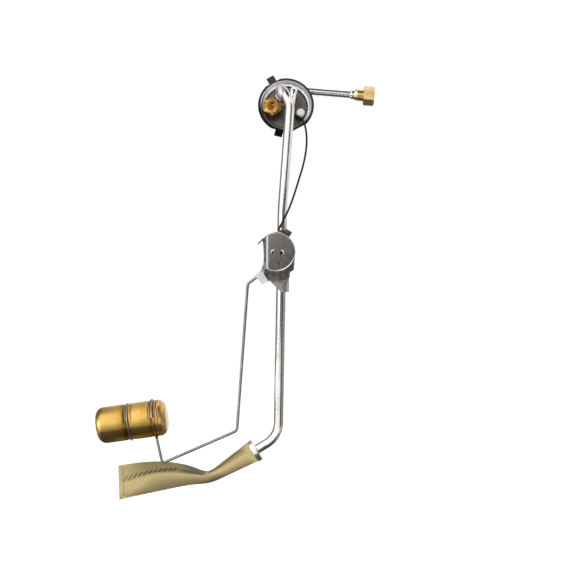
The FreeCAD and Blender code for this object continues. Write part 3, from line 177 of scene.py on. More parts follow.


# colours of the mottle, how fine it and the streaks are, roughness from smooth to rough, relief in
# metres, and, for a sheet that lies in the can's shade, the heights between which painted shade darkens
# it, and how far
metals = {
    "tubeSteel": dict(dark=(0.68, 0.66, 0.64), middle=(0.78, 0.76, 0.74), light=(0.85, 0.835, 0.82),
                      mottleScale=60, streakScale=900, streak=(1, 1, 0.06), smooth=0.15, rough=0.24,
                      grain=0.000003),
    "rodSteel": dict(dark=(0.20, 0.19, 0.18), middle=(0.27, 0.257, 0.245), light=(0.36, 0.345, 0.33),
                     mottleScale=90, streakScale=1100, streak=(1, 1, 0.1), smooth=0.2, rough=0.32,
                     grain=0.000003),
    "coverTin": dict(dark=(0.54, 0.50, 0.475), middle=(0.61, 0.57, 0.545), light=(0.68, 0.64, 0.615),
                     mottleScale=70, streakScale=500, streak=(1, 1, 0.3), smooth=0.2, rough=0.27,
                     grain=0.0000008),
    "plateTin": dict(dark=(0.72, 0.67, 0.64), middle=(0.88, 0.83, 0.80), light=(0.96, 0.93, 0.90),
                     mottleScale=120, streakScale=260, streak=(1, 1, 0.6), smooth=0.22, rough=0.32,
                     grain=0.0000006, shadedAbove=(-0.181, -0.177, 0.42)),
    "leverTin": dict(dark=(0.84, 0.82, 0.80), middle=(0.90, 0.885, 0.87), light=(0.94, 0.93, 0.92),
                     mottleScale=120, streakScale=500, streak=(1, 1, 0.3), smooth=0.34, rough=0.46,
                     grain=0.000002, shadedAbove=(-0.173, -0.167, 0.4)),
    # painted highlight: a paler copy of the cover's tin, for its lit edge and the lance lips
    "highlightTin": dict(dark=(0.86, 0.84, 0.82), middle=(0.92, 0.905, 0.89), light=(0.96, 0.95, 0.94),
                    mottleScale=120, streakScale=500, streak=(1, 1, 1), smooth=0.3, rough=0.4,
                    grain=0.000001),
    "domeTin": dict(dark=(0.52, 0.495, 0.48), middle=(0.60, 0.575, 0.56), light=(0.68, 0.66, 0.645),
                    mottleScale=160, streakScale=500, streak=(1, 1, 1), smooth=0.4, rough=0.52,
                    grain=0.000002),
    "fittingBrass": dict(dark=(0.66, 0.44, 0.17), middle=(0.80, 0.56, 0.25), light=(0.88, 0.68, 0.36),
                         mottleScale=160, streakScale=900, streak=(1, 0.1, 0.1), smooth=0.22, rough=0.34,
                         grain=0.000003),
    "ventBrass": dict(dark=(0.25, 0.115, 0.022), middle=(0.38, 0.19, 0.044), light=(0.72, 0.46, 0.18),
                      mottleScale=230, streakScale=900, streak=(1, 0.2, 1), smooth=0.24, rough=0.38,
                      grain=0.000003),
    "contactBrass": dict(dark=(0.45, 0.30, 0.13), middle=(0.62, 0.44, 0.22), light=(0.75, 0.58, 0.34),
                         mottleScale=220, streakScale=1300, streak=(1, 1, 1), smooth=0.26, rough=0.4,
                         grain=0.000005),
    "darkLug": dict(dark=(0.07, 0.067, 0.065), middle=(0.12, 0.115, 0.11), light=(0.22, 0.21, 0.20),
                    mottleScale=300, streakScale=1300, streak=(1, 1, 1), smooth=0.3, rough=0.45,
                    grain=0.000005),
}

insulations = {
    "leadBlack": dict(dark=(0.006, 0.006, 0.007), light=(0.014, 0.013, 0.014), roughness=0.5, shine=0.15),
    "fibreDark": dict(dark=(0.045, 0.035, 0.028), light=(0.10, 0.08, 0.06), roughness=0.55, shine=0.5),
    "ceramicWhite": dict(dark=(0.78, 0.77, 0.74), light=(0.90, 0.89, 0.87), roughness=0.22, shine=0.5),
}


def insulationMaterial(name, dark, light, roughness, shine, mottleScale=700, wear=0.14, grain=0.00002):
    # mottled all over, without a metal's streaks
    material, tree, shader = newMaterial(name)
    shader.inputs["Specular IOR Level"].default_value = shine
    mottle = addNoise(tree, objectCoords(tree), mottleScale, 5)
    tree.links.new(addRamp(tree, mottle, [(0.35, dark), (0.65, light)]), shader.inputs["Base Color"])
    rough = addRange(tree, mottle, 0.3, 0.7, roughness, roughness + wear)
    tree.links.new(rough, shader.inputs["Roughness"])
    addBump(tree, shader, mottle, grain)
    return material


flangeLook = {
    # the wall's near white is a painted highlight; the darker floor and lip are painted shade of the same
    # sheet
    "floor": (0.15, 0.135, 0.13),
    "wall": (0.97, 0.96, 0.95),
    "lip": (0.050, 0.052, 0.058),
    "roughness": (0.34, 0.3, 0.46),  # of the floor, the wall and the lip
    "roughMottle": 0.12,
    "metallic": (1, 0.5, 1),
    "floorEdge": 22.6,  # mm from the flange's middle
    "wallEdge": 25.9,
    "edgeWander": 0.0012,  # metres that these edges stray
    "paintedLowShade": (-0.014, -0.001),  # metres up, between which the painted shade low on the wall clears
    "paintedLowShadeTone": 0.12,
    "paintedLowShadeLean": 0.35,  # how much sooner the painted shade clears to the right
    "mottle": (0.82, 1.1),
    "grain": 0.000006,
}


def flangeStop(edge):
    # where an edge lies on the ramps, which run from 20 to 30 mm
    return (flangeLook[edge] - 20) / 10


def flangeZones(tree, place, values):
    # one value or colour each for the floor, the wall and the lip
    floor, wall, lip = (value if isinstance(value, tuple) else (value,) * 3 for value in values)
    floorStop, wallStop = flangeStop("floorEdge"), flangeStop("wallEdge")
    return addRamp(tree, place, [(floorStop - 0.05, floor), (floorStop + 0.05, wall),
                                 (wallStop - 0.05, wall), (wallStop + 0.04, lip)])


def flangeMaterial():
    # one pressed sheet in three tones of painted light and shade: a bright drawn wall as a painted
    # highlight, between a warm grey floor and a charcoal lip as painted shade
    look = flangeLook
    material, tree, shader = newMaterial("pressedFlange")
    axes = splitAxes(tree, objectCoords(tree, turn=(flangeTilt, 0, 0)))
    square = addMath(tree, "ADD", addMath(tree, "MULTIPLY", axes["X"], axes["X"]),
                     addMath(tree, "MULTIPLY", axes["Z"], axes["Z"]))
    mottle = addNoise(tree, objectCoords(tree), 180, 6, 0.65)
    wander = addMath(tree, "MULTIPLY", addMath(tree, "SUBTRACT", mottle, 0.5), look["edgeWander"])
    radius = addMath(tree, "ADD", addMath(tree, "SQRT", square), wander)
    place = addRange(tree, radius, 0.020, 0.030, 0, 1)
    zones = flangeZones(tree, place, (look["floor"], look["wall"], look["lip"]))
    # painted shade: the wall is darker low down, where it faces away from the light, and stays bright at
    # the top and the right
    height = addMath(tree, "ADD", axes["Z"], addMath(tree, "MULTIPLY", axes["X"], look["paintedLowShadeLean"]))
    height = addMath(tree, "ADD", height, wander)
    paintedLowShade = addRange(tree, height, *look["paintedLowShade"], look["paintedLowShadeTone"], 1.0)
    floorStop = flangeStop("floorEdge")
    onWall = addRange(tree, place, floorStop - 0.04, floorStop + 0.04, 0, 1)
    zones = mixColours(tree, onWall, zones, multiplyColours(tree, zones, paintedLowShade))
    dark, light = look["mottle"]
    shade = addRamp(tree, mottle, [(0.3, (dark,) * 3), (0.7, (light,) * 3)])
    tree.links.new(multiplyColours(tree, zones, shade), shader.inputs["Base Color"])
    rough = flangeZones(tree, place, look["roughness"])
    tree.links.new(addMath(tree, "ADD", rough, addMath(tree, "MULTIPLY", mottle, look["roughMottle"])),
                   shader.inputs["Roughness"])
    tree.links.new(flangeZones(tree, place, look["metallic"]), shader.inputs["Metallic"])
    addBump(tree, shader, mottle, look["grain"])
    return material


materials = {name: metalMaterial(name, look) for name, look in metals.items()}
materials.update((name, insulationMaterial(name, **look)) for name, look in insulations.items())
materials["pressedFlange"] = flangeMaterial()
finishes = {
    "tubeSteel": ("pickup_tube", "outlet_tube", "outlet_ferrule", "tube_brace"),
    "rodSteel": ("float_rod", "float_clip", "pivot_pin", "terminal_washer"),
    "coverTin": ("sender_cover",),
    "plateTin": ("sender_backplate", "sock_collar"),
    "leverTin": ("lever",),
    "domeTin": ("tube_boss",),
    "fittingBrass": ("outlet_fitting", "terminal_nut", "terminal_stud"),
    "ventBrass": ("vent_nut",),
    "contactBrass": ("pivot_bushing", "wiper_arm", "wiper_contact"),
    "darkLug": ("lead_lug", "lead_eyelet", "terminal_post"),
    "leadBlack": ("lead_sleeve",),
    "fibreDark": ("outer_insulator", "post_insulator", "resistor_former"),
    "ceramicWhite": ("inner_insulator", "terminal_cap"),
    "pressedFlange": ("mounting_flange",),
}
for finish, names in finishes.items():
    for name in names:
        nodes[name].data.materials.clear()
        nodes[name].data.materials.append(materials[finish])
print("finishes laid on the frame's nodes")


def newPiece(name, mesh, material, smooth=True):
    piece = bpy.data.objects.new(name, mesh)
    scene.collection.objects.link(piece)
    mesh.materials.clear()
    mesh.materials.append(material)
    for face in mesh.polygons:
        face.use_smooth = smooth
    return piece


def plainMesh(name, holder):
    # what a holder's modifier or bevel makes, as a mesh of its own
    depsgraph = bpy.context.evaluated_depsgraph_get()
    mesh = bpy.data.meshes.new_from_object(holder.evaluated_get(depsgraph))
    mesh.name = name
    bpy.data.objects.remove(holder)
    return mesh


def closedMesh(name, build):
    # a mesh of what bmesh holds, with its faces turned outwards
    mesh = bpy.data.meshes.new(name)
    bmesh.ops.recalc_face_normals(build, faces=build.faces)
    build.to_mesh(mesh)
    build.free()
    return mesh


def turnedMesh(name, profile, around, pointAt):
    # a profile of (along, out) pairs turned round an axis, with a pole where out is 0
    build = bmesh.new()
    rings = []
    for along, out in profile:
        angles = [math.tau * step / around for step in range(around if out else 1)]
        rings.append([build.verts.new(pointAt(along, out, angle)) for angle in angles])
    for first, second in zip(rings, rings[1:]):
        for step in range(around):
            following = (step + 1) % around
            corners = []
            for ring, index in ((first, step), (first, following), (second, following), (second, step)):
                vertex = ring[index] if len(ring) > 1 else ring[0]
                if vertex not in corners:
                    corners.append(vertex)
            build.faces.new(corners)
    return closedMesh(name, build)


def curveLine(name, points, radii, bevel, material):
    # a smooth wire through control points in mm, one radius factor each
    curve = bpy.data.curves.new(name, "CURVE")
    curve.dimensions = "3D"
    spline = curve.splines.new("NURBS")
    spline.points.add(len(points) - 1)
    for point, place, factor in zip(spline.points, points, radii):
        point.co = (*(value * mm for value in place), 1)
        point.radius = factor
    spline.order_u = 3
    spline.use_endpoint_u = True
    curve.resolution_u = 16
    curve.bevel_depth = bevel * mm
    curve.bevel_resolution = 6
    curve.use_fill_caps = True
    curve.materials.append(material)
    piece = bpy.data.objects.new(name, curve)
    scene.collection.objects.link(piece)
    return piece


# insulated lead from the flange's terminal to the can

leadSizes = {
    "radius": 0.95,
    "length": 138.7,
    "route": [(11.37, 1.48, -12.23), (13.23, -1.67, -13.83), (18.63, -10.92, -18.72),
              (21.03, -16.68, -33.69), (20.27, -22.15, -48.65), (17.37, -27.06, -63.62),
              (12.80, -31.16, -78.58), (8.30, -34.25, -93.54), (2.95, -36.16, -108.51),
              (-3.60, -36.81, -121.20), (-8.31, -36.81, -130.27), (-4.91, -36.81, -130.27)],
}
leadLine = curveLine("lead_line", leadSizes["route"], [1] * len(leadSizes["route"]),
                     leadSizes["radius"], materials["leadBlack"])
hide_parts("lead_wire")
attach(leadLine, "sender_frame")
print("lead laid")


# brass vent through the flange

ventSizes = {
    "place": (-14, -3.6),
    "hexFlats": 17.46,
    "around": 96,
    "sharpFrom": 20,  # degrees between two faces
    # along the vent and out from its middle, before the hexagon's flats cut it
    "profile": [(-3, 0), (-3, 1.1), (-8.5, 1.1), (-8.75, 1.5), (-8.5, 2.0), (-7.3, 3.3), (-7.3, 4.0),
                (-8.7, 4.2), (-9, 4.6), (-9, 6.9), (-8.55, 7.9), (-7.2, 9.6), (-6.4, 10.4),
                (-0.3, 10.4), (0, 9.8), (0, 6), (8, 6), (8, 5), (14.2, 5), (14.2, 3.4), (24.2, 3.4),
                (24.2, 4), (27.2, 3), (27.2, 2), (10.2, 2), (9.6, 0)],
}


def ventPoint(along, out, angle):
    x, z = ventSizes["place"]
    fromFlat = (angle + math.pi / 6) % (math.pi / 3) - math.pi / 6
    reach = min(out, ventSizes["hexFlats"] / 2 / math.cos(fromFlat))
    return flangePoint(x + reach * math.cos(angle), along, z + reach * math.sin(angle))


ventMesh = turnedMesh("vent_body", ventSizes["profile"], ventSizes["around"], ventPoint)
ventMesh.set_sharp_from_angle(angle=math.radians(ventSizes["sharpFrom"]))
ventPiece = newPiece("vent_body", ventMesh, materials["ventBrass"])
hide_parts("vent_fitting")
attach(ventPiece, "sender_frame")
print("vent turned")


# wire turns and threads that follow a line

def turnsTree():
    tree = bpy.data.node_groups.new("turnsAlongLine", "GeometryNodeTree")
    face = tree.interface
    face.new_socket("Geometry", in_out="INPUT", socket_type="NodeSocketGeometry")
    for name, kind in (("Turns", "Int"), ("Width", "Float"), ("Height", "Float"), ("Corner", "Float"),
                       ("Wire", "Float"), ("Finish", "Material")):
        face.new_socket(name, in_out="INPUT", socket_type="NodeSocket" + kind)
    face.new_socket("Geometry", in_out="OUTPUT", socket_type="NodeSocketGeometry")
    given = addNode(tree, "NodeGroupInput")
    line = addNode(tree, "GeometryNodeMeshToCurve")
    spaced = addNode(tree, "GeometryNodeResampleCurve")
    loop = addNode(tree, "GeometryNodeCurvePrimitiveQuadrilateral")
    corners = addNode(tree, "GeometryNodeFilletCurve", mode="POLY", Count=4)  # steps round a corner
    section = addNode(tree, "GeometryNodeCurvePrimitiveCircle", Resolution=6)  # sides of the wire
    turn = addNode(tree, "GeometryNodeCurveToMesh")
    smooth = addNode(tree, "GeometryNodeSetShadeSmooth")
    tangent = addNode(tree, "GeometryNodeInputTangent")
    align = addNode(tree, "FunctionNodeAlignRotationToVector", axis="Z")
    scatter = addNode(tree, "GeometryNodeInstanceOnPoints")
    real = addNode(tree, "GeometryNodeRealizeInstances")
    finish = addNode(tree, "GeometryNodeSetMaterial")
    result = addNode(tree, "NodeGroupOutput")
    for start, output, end, entry in (
            (given, "Geometry", line, "Mesh"), (line, "Curve", spaced, "Curve"),
            (given, "Turns", spaced, "Count"), (given, "Width", loop, "Width"),
            (given, "Height", loop, "Height"), (loop, "Curve", corners, "Curve"),
            (given, "Corner", corners, "Radius"), (given, "Wire", section, "Radius"),
            (corners, "Curve", turn, "Curve"), (section, "Curve", turn, "Profile Curve"),
            (turn, "Mesh", smooth, 0), (tangent, "Tangent", align, "Vector"),
            (spaced, "Curve", scatter, "Points"), (smooth, 0, scatter, "Instance"),
            (align, "Rotation", scatter, "Rotation"), (scatter, "Instances", real, "Geometry"),
            (real, "Geometry", finish, "Geometry"), (given, "Finish", finish, "Material"),
            (finish, "Geometry", result, "Geometry")):
        tree.links.new(start.outputs[output], end.inputs[entry])
    return tree


turnsGroup = turnsTree()


def turnsPiece(name, line, sizes, material):
    # the tree's turns along a line of points, made a plain mesh
    mesh = bpy.data.meshes.new(name + "Line")
    mesh.from_pydata(line, [(index, index + 1) for index in range(len(line) - 1)], [])
    holder = bpy.data.objects.new(name + "Holder", mesh)
    scene.collection.objects.link(holder)
    modifier = holder.modifiers.new("turns", "NODES")
    modifier.node_group = turnsGroup
    for item in turnsGroup.interface.items_tree:
        if item.in_out == "INPUT" and item.name in sizes:
            modifier[item.identifier] = sizes[item.name]
        if item.in_out == "INPUT" and item.name == "Finish":
            modifier[item.identifier] = material
    return newPiece(name, plainMesh(name, holder), material)


windingSizes = {
    "centre": (-10.074, -34.01, -150.6),  # the can's middle
    "radius": 15.6,
    "start": -33,  # degrees
    "end": 73,
    "points": 54,
    "middle": -7.05,  # along the can's depth
    "turns": dict(Turns=52, Width=1.75 * mm, Height=8.4 * mm, Corner=0.4 * mm, Wire=0.24 * mm),
}
threadSizes = {
    "place": (14.8, -6.9),
    "start": 15.4,
    "end": 19.6,
    "turns": dict(Turns=8, Width=3.3 * mm, Height=3.3 * mm, Corner=1.62 * mm, Wire=0.2 * mm),
}


def windingLine():
    s = windingSizes
    x, y, z = s["centre"]
    points = []
    for step in range(s["points"]):
        angle = math.radians(s["start"] + (s["end"] - s["start"]) * step / (s["points"] - 1))
        points.append(Vector((x + s["radius"] * math.cos(angle), y + s["middle"],
                              z + s["radius"] * math.sin(angle))) * mm)
    return points


def threadLine():
    s = threadSizes
    x, z = s["place"]
    return [flangePoint(x, along, z) for along in (s["start"], s["end"])]


windingPiece = turnsPiece("winding_turns", windingLine(), windingSizes["turns"],
                          materials["contactBrass"])
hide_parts("resistor_winding")
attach(windingPiece, "sender_frame")
threadPiece = turnsPiece("stud_thread", threadLine(), threadSizes["turns"], materials["fittingBrass"])
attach(threadPiece, "sender_frame")
print("winding and thread wound")


# raised lips of the two lances in the cover's face, and a strip round its edge; both are paler than the
# cover, as a painted highlight

lipSizes = {
    "face": (-10.074, -48.01, -150.6),
    "left": [(-5.0, -2.5), (-4.5, -0.3), (-3.3, 1.0), (-1.7, 1.5), (-0.5, 2.1)],
    "right": [(5.0, 1.4), (6.6, 1.2), (7.7, 0.2), (8.0, -1.4), (7.2, -3.0)],
    "thickness": (0.25, 0.8, 1, 0.8, 0.25),
    "radius": 0.62,
    "depth": 0.1,  # how far its middle lies behind the face
}
edgeHighlightSizes = {
    "reach": 18.9,  # from the cover's middle to its round edge
    "outset": 1.01,
    "chord": 8.7,  # from the middle to the straight side
    "cornerCut": 0.3,
    "bend": (-110, 11, 15),  # degrees round the cover: first, end and step
    "thickness": (0.5, 0.9, 1, 1, 0.8, 0.7, 0.8, 1, 1.2, 1.3, 1.2, 0.9, 0.5, 0.2),
    "radius": 0.5,
    "depth": 0.55,
}


def edgeHighlightLine():
    # down the straight side, then round under the cover and up to the right
    s = edgeHighlightSizes
    corner = math.sqrt(s["reach"] ** 2 - s["chord"] ** 2) - s["cornerCut"]
    points = [(-s["chord"], height) for height in (corner, corner - 1, 0, 1 - corner, -corner)]
    for degrees in range(*s["bend"]):
        angle = math.radians(degrees)
        points.append((s["outset"] * s["reach"] * math.cos(angle),
                       s["outset"] * s["reach"] * math.sin(angle)))
    return points


def lipPiece(name, line, s):
    x0, y0, z0 = lipSizes["face"]
    # paler than the cover's tin: a painted highlight on the lips and the edge
    material = materials["highlightTin"]
    points = [(x0 + x, y0 + s["depth"], z0 + z) for x, z in line]
    curve = curveLine(name + "Line", points, s["thickness"], s["radius"], material)
    piece = newPiece(name, plainMesh(name, curve), material)
    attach(piece, "sender_frame")


for side in ("left", "right"):
    lipPiece("lance_lip_" + side, lipSizes[side], lipSizes)
lipPiece("cover_edge_highlight", edgeHighlightLine(), edgeHighlightSizes)
print("cover lips raised")


def lathe(name, profile, around, centre, turn, material):
    # turned in mm about its own X axis, then scaled, turned into place and moved to its centre
    mesh = turnedMesh(name, profile, around,
                      lambda along, out, angle: (along, out * math.cos(angle), out * math.sin(angle)))
    mesh.transform(Matrix.Translation(Vector(centre) * mm) @ turn @ Matrix.Scale(mm, 4))
    return newPiece(name, mesh, material)


# swollen elbow where the pickup tube turns down from the flange

elbowSizes = {
    "centre": (-4.0, -24.0, 9.3),
    "along": (0.2, -0.64, -0.75),  # the tube's direction there
    "halfLength": 8.8,
    "radius": 6.3,
    "bluntness": 0.85,  # 1 is a plain oval, less is fuller at the ends
    "around": 72,
}


def elbowPiece():
    s = elbowSizes
    profile = [(-s["halfLength"], 0.0)]
    for degrees in range(6, 180, 6):
        angle = math.radians(degrees)
        profile.append((-s["halfLength"] * math.cos(angle),
                        s["radius"] * math.sin(angle) ** s["bluntness"]))
    profile.append((s["halfLength"], 0.0))
    turn = Vector(s["along"]).to_track_quat("X", "Z").to_matrix().to_4x4()
    piece = lathe("tube_elbow", profile, s["around"], s["centre"], turn, materials["domeTin"])
    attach(piece, "sender_frame")


elbowPiece()
print("elbow swollen")


# float

floatSizes = {
    "centre": (-151.5, -38.01, -317.7),
    "tilt": 7.8,
    "radius": 17.85,
    "length": 69.4,
    "leftCorner": 8.2,
    "rightCorner": 8.6,
    "faceDrop": 0.55,  # how far out each end's face has its ring of points
    "grooveHalf": 5.2,
    "grooveLimit": 1.155,
    "clipGroove": -2.6,
    "rodGroove": 21.85,
    # dips and beads of each groove: the middle, the half width, the depth
    "clipRoll": [(0, 1.3, 1.0), (-2.4, 1.5, 0.55), (2.4, 0.5, 0.3), (4.0, 0.45, 0.3)],
    "rodRoll": [(0, 1.3, 1.0), (-3.5, 0.6, 0.35), (3.4, 0.6, 0.35)],
    "cornerSteps": 12,
    "grooveSteps": 34,
    "around": 180,
}
floatLook = {
    "brass": [(0.3, (0.475, 0.288, 0.072)), (0.5, (0.525, 0.33, 0.092)), (0.7, (0.58, 0.377, 0.118))],
    "speckle": [(0.35, (0.94, 0.92, 0.90)), (0.6, (1.0, 1.0, 1.0))],
    "roughness": (0.28, 0.35),
    "ringScale": 1500,
    "ringRelief": 0.000008,
    "wander": 0.003,  # metres that the bands stray
    # mm along the float, and how bright the brass is there: painted highlights at the two ends, painted
    # shade beside the grooves
    "shadeAndHighlightBands": [(-34.7, 1.5), (-31.5, 1.3), (-28.5, 1.02), (-14, 0.98), (-9.5, 0.80), (-6.0, 0.34),
              (-3.8, 0.42), (-2.6, 0.75), (-0.6, 0.95), (0.3, 1.05), (1.6, 0.75), (2.8, 1.05),
              (10.6, 1.0), (12.0, 0.86), (13.2, 1.0), (14.6, 0.86), (16.0, 1.0), (18.6, 0.75),
              (20.2, 0.42), (21.9, 0.9), (23.6, 0.5), (25.2, 1.05), (29.5, 1.15), (32.5, 1.5),
              (34.7, 1.6)],
}


def floatProfile():
    s = floatSizes
    half = s["length"] / 2
    points = [(-half, 0.0), (-half, (s["radius"] - s["leftCorner"]) * s["faceDrop"])]

    def corner(middle, size, start, end):
        for step in range(s["cornerSteps"] + 1):
            angle = math.radians(start + (end - start) * step / s["cornerSteps"])
            points.append((middle + size * math.cos(angle),
                           s["radius"] - size + size * math.sin(angle)))

    corner(-half + s["leftCorner"], s["leftCorner"], 180, 90)
    for place, roll in ((s["clipGroove"], s["clipRoll"]), (s["rodGroove"], s["rodRoll"])):
        for step in range(-s["grooveSteps"], s["grooveSteps"] + 1):
            across = step / s["grooveSteps"] * s["grooveHalf"]
            dip = sum(depth * bellCurve(across, middle, width) for middle, width, depth in roll)
            points.append((place + across, s["radius"] - min(dip, s["grooveLimit"])))
    corner(half - s["rightCorner"], s["rightCorner"], 90, 0)
    points += [(half, (s["radius"] - s["rightCorner"]) * s["faceDrop"]), (half, 0.0)]
    return points


def floatMaterial():
    # spun brass: fine rings round the shell, painted shade in brown bands beside the grooves and painted
    # highlights at the ends
    look = floatLook
    material, tree, shader = newMaterial("spunBrass")
    tilt = math.radians(floatSizes["tilt"])
    lengthways = splitAxes(tree, objectCoords(tree, turn=(0, tilt, 0)))["X"]
    rings = addNode(tree, "ShaderNodeTexNoise", noise_dimensions="1D", Scale=look["ringScale"], Detail=3)
    tree.links.new(lengthways, rings.inputs["W"])
    plain = objectCoords(tree)
    mottle = addNoise(tree, plain, 55, 6, 0.6)
    speckle = addNoise(tree, plain, 420, 4, 0.6)
    x, _, z = floatSizes["centre"]
    middle = (x * math.cos(tilt) + z * math.sin(tilt)) * mm
    half = floatSizes["length"] / 2 * mm
    wander = addMath(tree, "MULTIPLY", addMath(tree, "SUBTRACT", mottle, 0.5), look["wander"])
    along = addRange(tree, addMath(tree, "ADD", lengthways, wander), middle - half, middle + half, 0, 1)
    # painted shade and highlights, as a ramp along the float
    stops = [((place * mm + half) / (2 * half), (tone, tone * (0.86 + 0.14 * tone), tone * tone))
             for place, tone in look["shadeAndHighlightBands"]]  # darker brass is browner
    colour = multiplyColours(tree, addRamp(tree, mottle, look["brass"]),
                             addRamp(tree, speckle, look["speckle"]))
    colour = multiplyColours(tree, colour, addRamp(tree, along, stops, False))
    tree.links.new(colour, shader.inputs["Base Color"])
    tree.links.new(addRange(tree, mottle, 0.3, 0.7, *look["roughness"]), shader.inputs["Roughness"])
    shader.inputs["Metallic"].default_value = 1.0
    addBump(tree, shader, rings.outputs["Fac"], look["ringRelief"])
    return material


floatShell = lathe("float_shell", floatProfile(), floatSizes["around"], floatSizes["centre"],
                   Matrix.Rotation(-math.radians(floatSizes["tilt"]), 4, "Y"), floatMaterial())
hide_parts("float")
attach(floatShell, "float_arm")
print("float shell turned")


# strainer sock

sockSizes = {
    "mouth": (-30.51, -28.0, -347.57),  # middle of the collar
    "slope": 31.3,
    "collarHalf": 2.3,
    "collarRim": 0.9,
    "start": -1.35,  # along the collar, where the cloth begins
    "tucked": 10.55,  # its radius under the collar
    "mouthRadius": 11.2,
    "halfWidth": 16.9,
    "neckHalf": 5.2,
    "neckLean": -0.12,
    "endHalf": 0.8,
    "thinning": 1.6,  # above 1 it goes flat early
    "throat": 54.2,
    "throatShares": (0.13, 0.4, 0.72),  # where its ovals stand
    "tail": 89.3,
    "tailShares": (0.18, 0.38, 0.62, 0.82, 1.0),
    "tailDrop": 4.1,
    "arch": 9.0,
    "archPlace": 0.37,  # share of the tail
    "archLevel": 0.75,  # how level it ends
    "twist": 80,  # degrees from the neck to the hem
    "twistEase": 0.86,
    "around": 224,
    "along": 380,
}


def sockStations():
    # the same ovals as the solid: centre, direction, half width, half depth and twist
    s = sockSizes
    angle = math.radians(s["slope"])
    slope = Vector((-math.cos(angle), 0, -math.sin(angle)))
    mouth = Vector(s["mouth"])
    neck = mouth + slope * s["throat"]
    end = neck + Vector((-s["tail"], 0, -s["tailDrop"]))
    lift = neck + Vector((-s["archPlace"] * s["tail"], 0, s["arch"]))
    stations = []
    for distance in (s["start"], 0, s["collarHalf"], s["collarHalf"] + s["collarRim"]):
        stations.append((mouth + slope * distance, slope, s["tucked"], s["tucked"], 0))
    for share in s["throatShares"]:
        width = between((s["mouthRadius"], s["halfWidth"]), share)
        depth = between((s["mouthRadius"], s["neckHalf"]), share)
        stations.append((mouth + slope * s["throat"] * share, slope, width, depth, 0))
    lean = Vector((-1, 0, s["neckLean"])).normalized()
    stations.append((neck, lean, s["halfWidth"], s["neckHalf"], 0))
    for share in s["tailShares"]:
        point = neck * (1 - share) ** 2 + lift * (2 * share * (1 - share)) + end * share ** 2
        tangent = (lift - neck) * (1 - share) + (end - lift) * share
        tangent.z *= 1 - s["archLevel"] * share
        depth = between((s["neckHalf"], s["endHalf"]), 1 - (1 - share) ** s["thinning"])
        twist = s["twist"] * share ** s["twistEase"]
        stations.append((point, tangent.normalized(), s["halfWidth"], depth, twist))
    return stations


def splinePoint(values, place):
    # clamped cubic through a list of control values, place from 0 to len - 3
    count = len(values)
    knots = [0] * 4 + list(range(1, count - 3)) + [count - 3] * 4
    span = min(max(int(place), 0), count - 4) + 3
    work = [values[span - 3 + index] for index in range(4)]
    for level in range(1, 4):
        for index in range(3, level - 1, -1):
            low = knots[span - 3 + index]
            high = knots[index + 1 + span - level]
            share = (place - low) / (high - low)
            work[index] = [a * (1 - share) + b * share for a, b in zip(work[index - 1], work[index])]
    return work[3]


def sockFrame(place, table):
    values = splinePoint(table, place)
    centre = Vector(values[0:3])
    along = Vector(values[3:6]).normalized()
    up = -along.cross(Vector((0, 1, 0)))
    wide = Vector((0, 1, 0)) * math.cos(values[8]) + up * math.sin(values[8])
    thin = along.cross(wide).normalized()
    return centre, along, wide, thin, values[6], values[7]


# x and z of the lines, and all sizes, in mm
sockFolds = {
    "startsAt": (0.26, 0.06),  # share of the sleeve under the collar, and that the folds rise over
    "backShare": 0.35,  # how much of the front's folds the back has
    "turnAway": 1.8,  # how fast they fade towards the sleeve's sides
    "ripple": 0.10,
    "shrink": 0.25,
    "pinchAt": (0.55, 0.3),  # where the sides begin to pinch together, and over what share
    "pinch": 0.35,
    "pinchWidth": 0.16,
    "ridge": [(-35.6, -348.4), (-45.5, -354.3), (-57.3, -362.2), (-70.2, -369.1), (-82.0, -372.6),
              (-94.9, -372.6), (-112.7, -371.1), (-129.5, -371.6), (-149.2, -376.1)],
    "ridgeHeight": 1.9,
    "ridgeWidth": 3.0,
    "valleyDepth": 1.1,
    "valleyWidth": 1.7,
    "valleyPlace": 2.6,  # above the ridge
    "valleyShade": 0.1,
    "lowerEdge": [(-25.9, -358.3), (-50.7, -369.7), (-74.6, -380.7), (-95.4, -381.2), (-120.3, -385.2),
                  (-150.1, -391.1), (-166.0, -395.6)],
    "lowerShade": 0.95,
    "aboveWidth": 1.8,
    # x, how far down the shade under the ridge sets in, how steeply, and the shade above the ridge
    "shadeStops": [(-166, 1.1, 8, 0.0), (-155, 1.0, 6, 0.2), (-145, 0.85, 4, 0.38),
                   (-135, 0.68, 1.5, 0.5), (-115, 0.45, 1.1, 0.62), (-88, 0.24, 1.1, 0.62),
                   (-70, 0.22, 1.1, 0.5), (-57, 0.65, 1.8, 0.45), (-40, 0.8, 2.6, 0.4)],
    "seam": [(-39.5, -343.6), (-53.4, -352.4), (-65.2, -362.2), (-76.0, -368.6)],
    "seamDepth": 0.7,
    "seamWidth": 0.9,
    "seamShade": 0.45,
    "creases": [[(-81.0, -369.3), (-94.9, -365.9), (-109.0, -361.9)],
                [(-82.5, -370.6), (-94.9, -368.6), (-108.0, -366.6)]],
    "creaseDepth": 0.9,
    "creaseWidth": 1.1,
    "creaseShade": 0.6,
    "dashCount": 11,
    "dashStart": (-159.6, -376.1),
    "dashRun": 48.9,
    "dashRise": 9.4,
    "dashBow": 1.8,
    "dashHalf": (3.1, 1.2),  # half lengths of the first and the last
    "dashSlope": (62, 24),
    "dashArea": ((-170, -386), (-105, -360)),  # its lowest and highest corner
    "dashReach": 2.2,
    "dashDepth": 0.8,
    "dashWidth": 0.62,
    "dashShade": 0.75,
    "dashRim": (0.22, 1.1, 0.45),  # height, distance from the dash, width
    "hemEdge": (-166.6, -362.2),
    "hemLean": 0.061,
    "hemInset": 3.7,
    "hemDepth": 0.35,
    "hemWidth": 0.5,
    "hemRise": 0.12,
    "hemShade": 0.35,
}


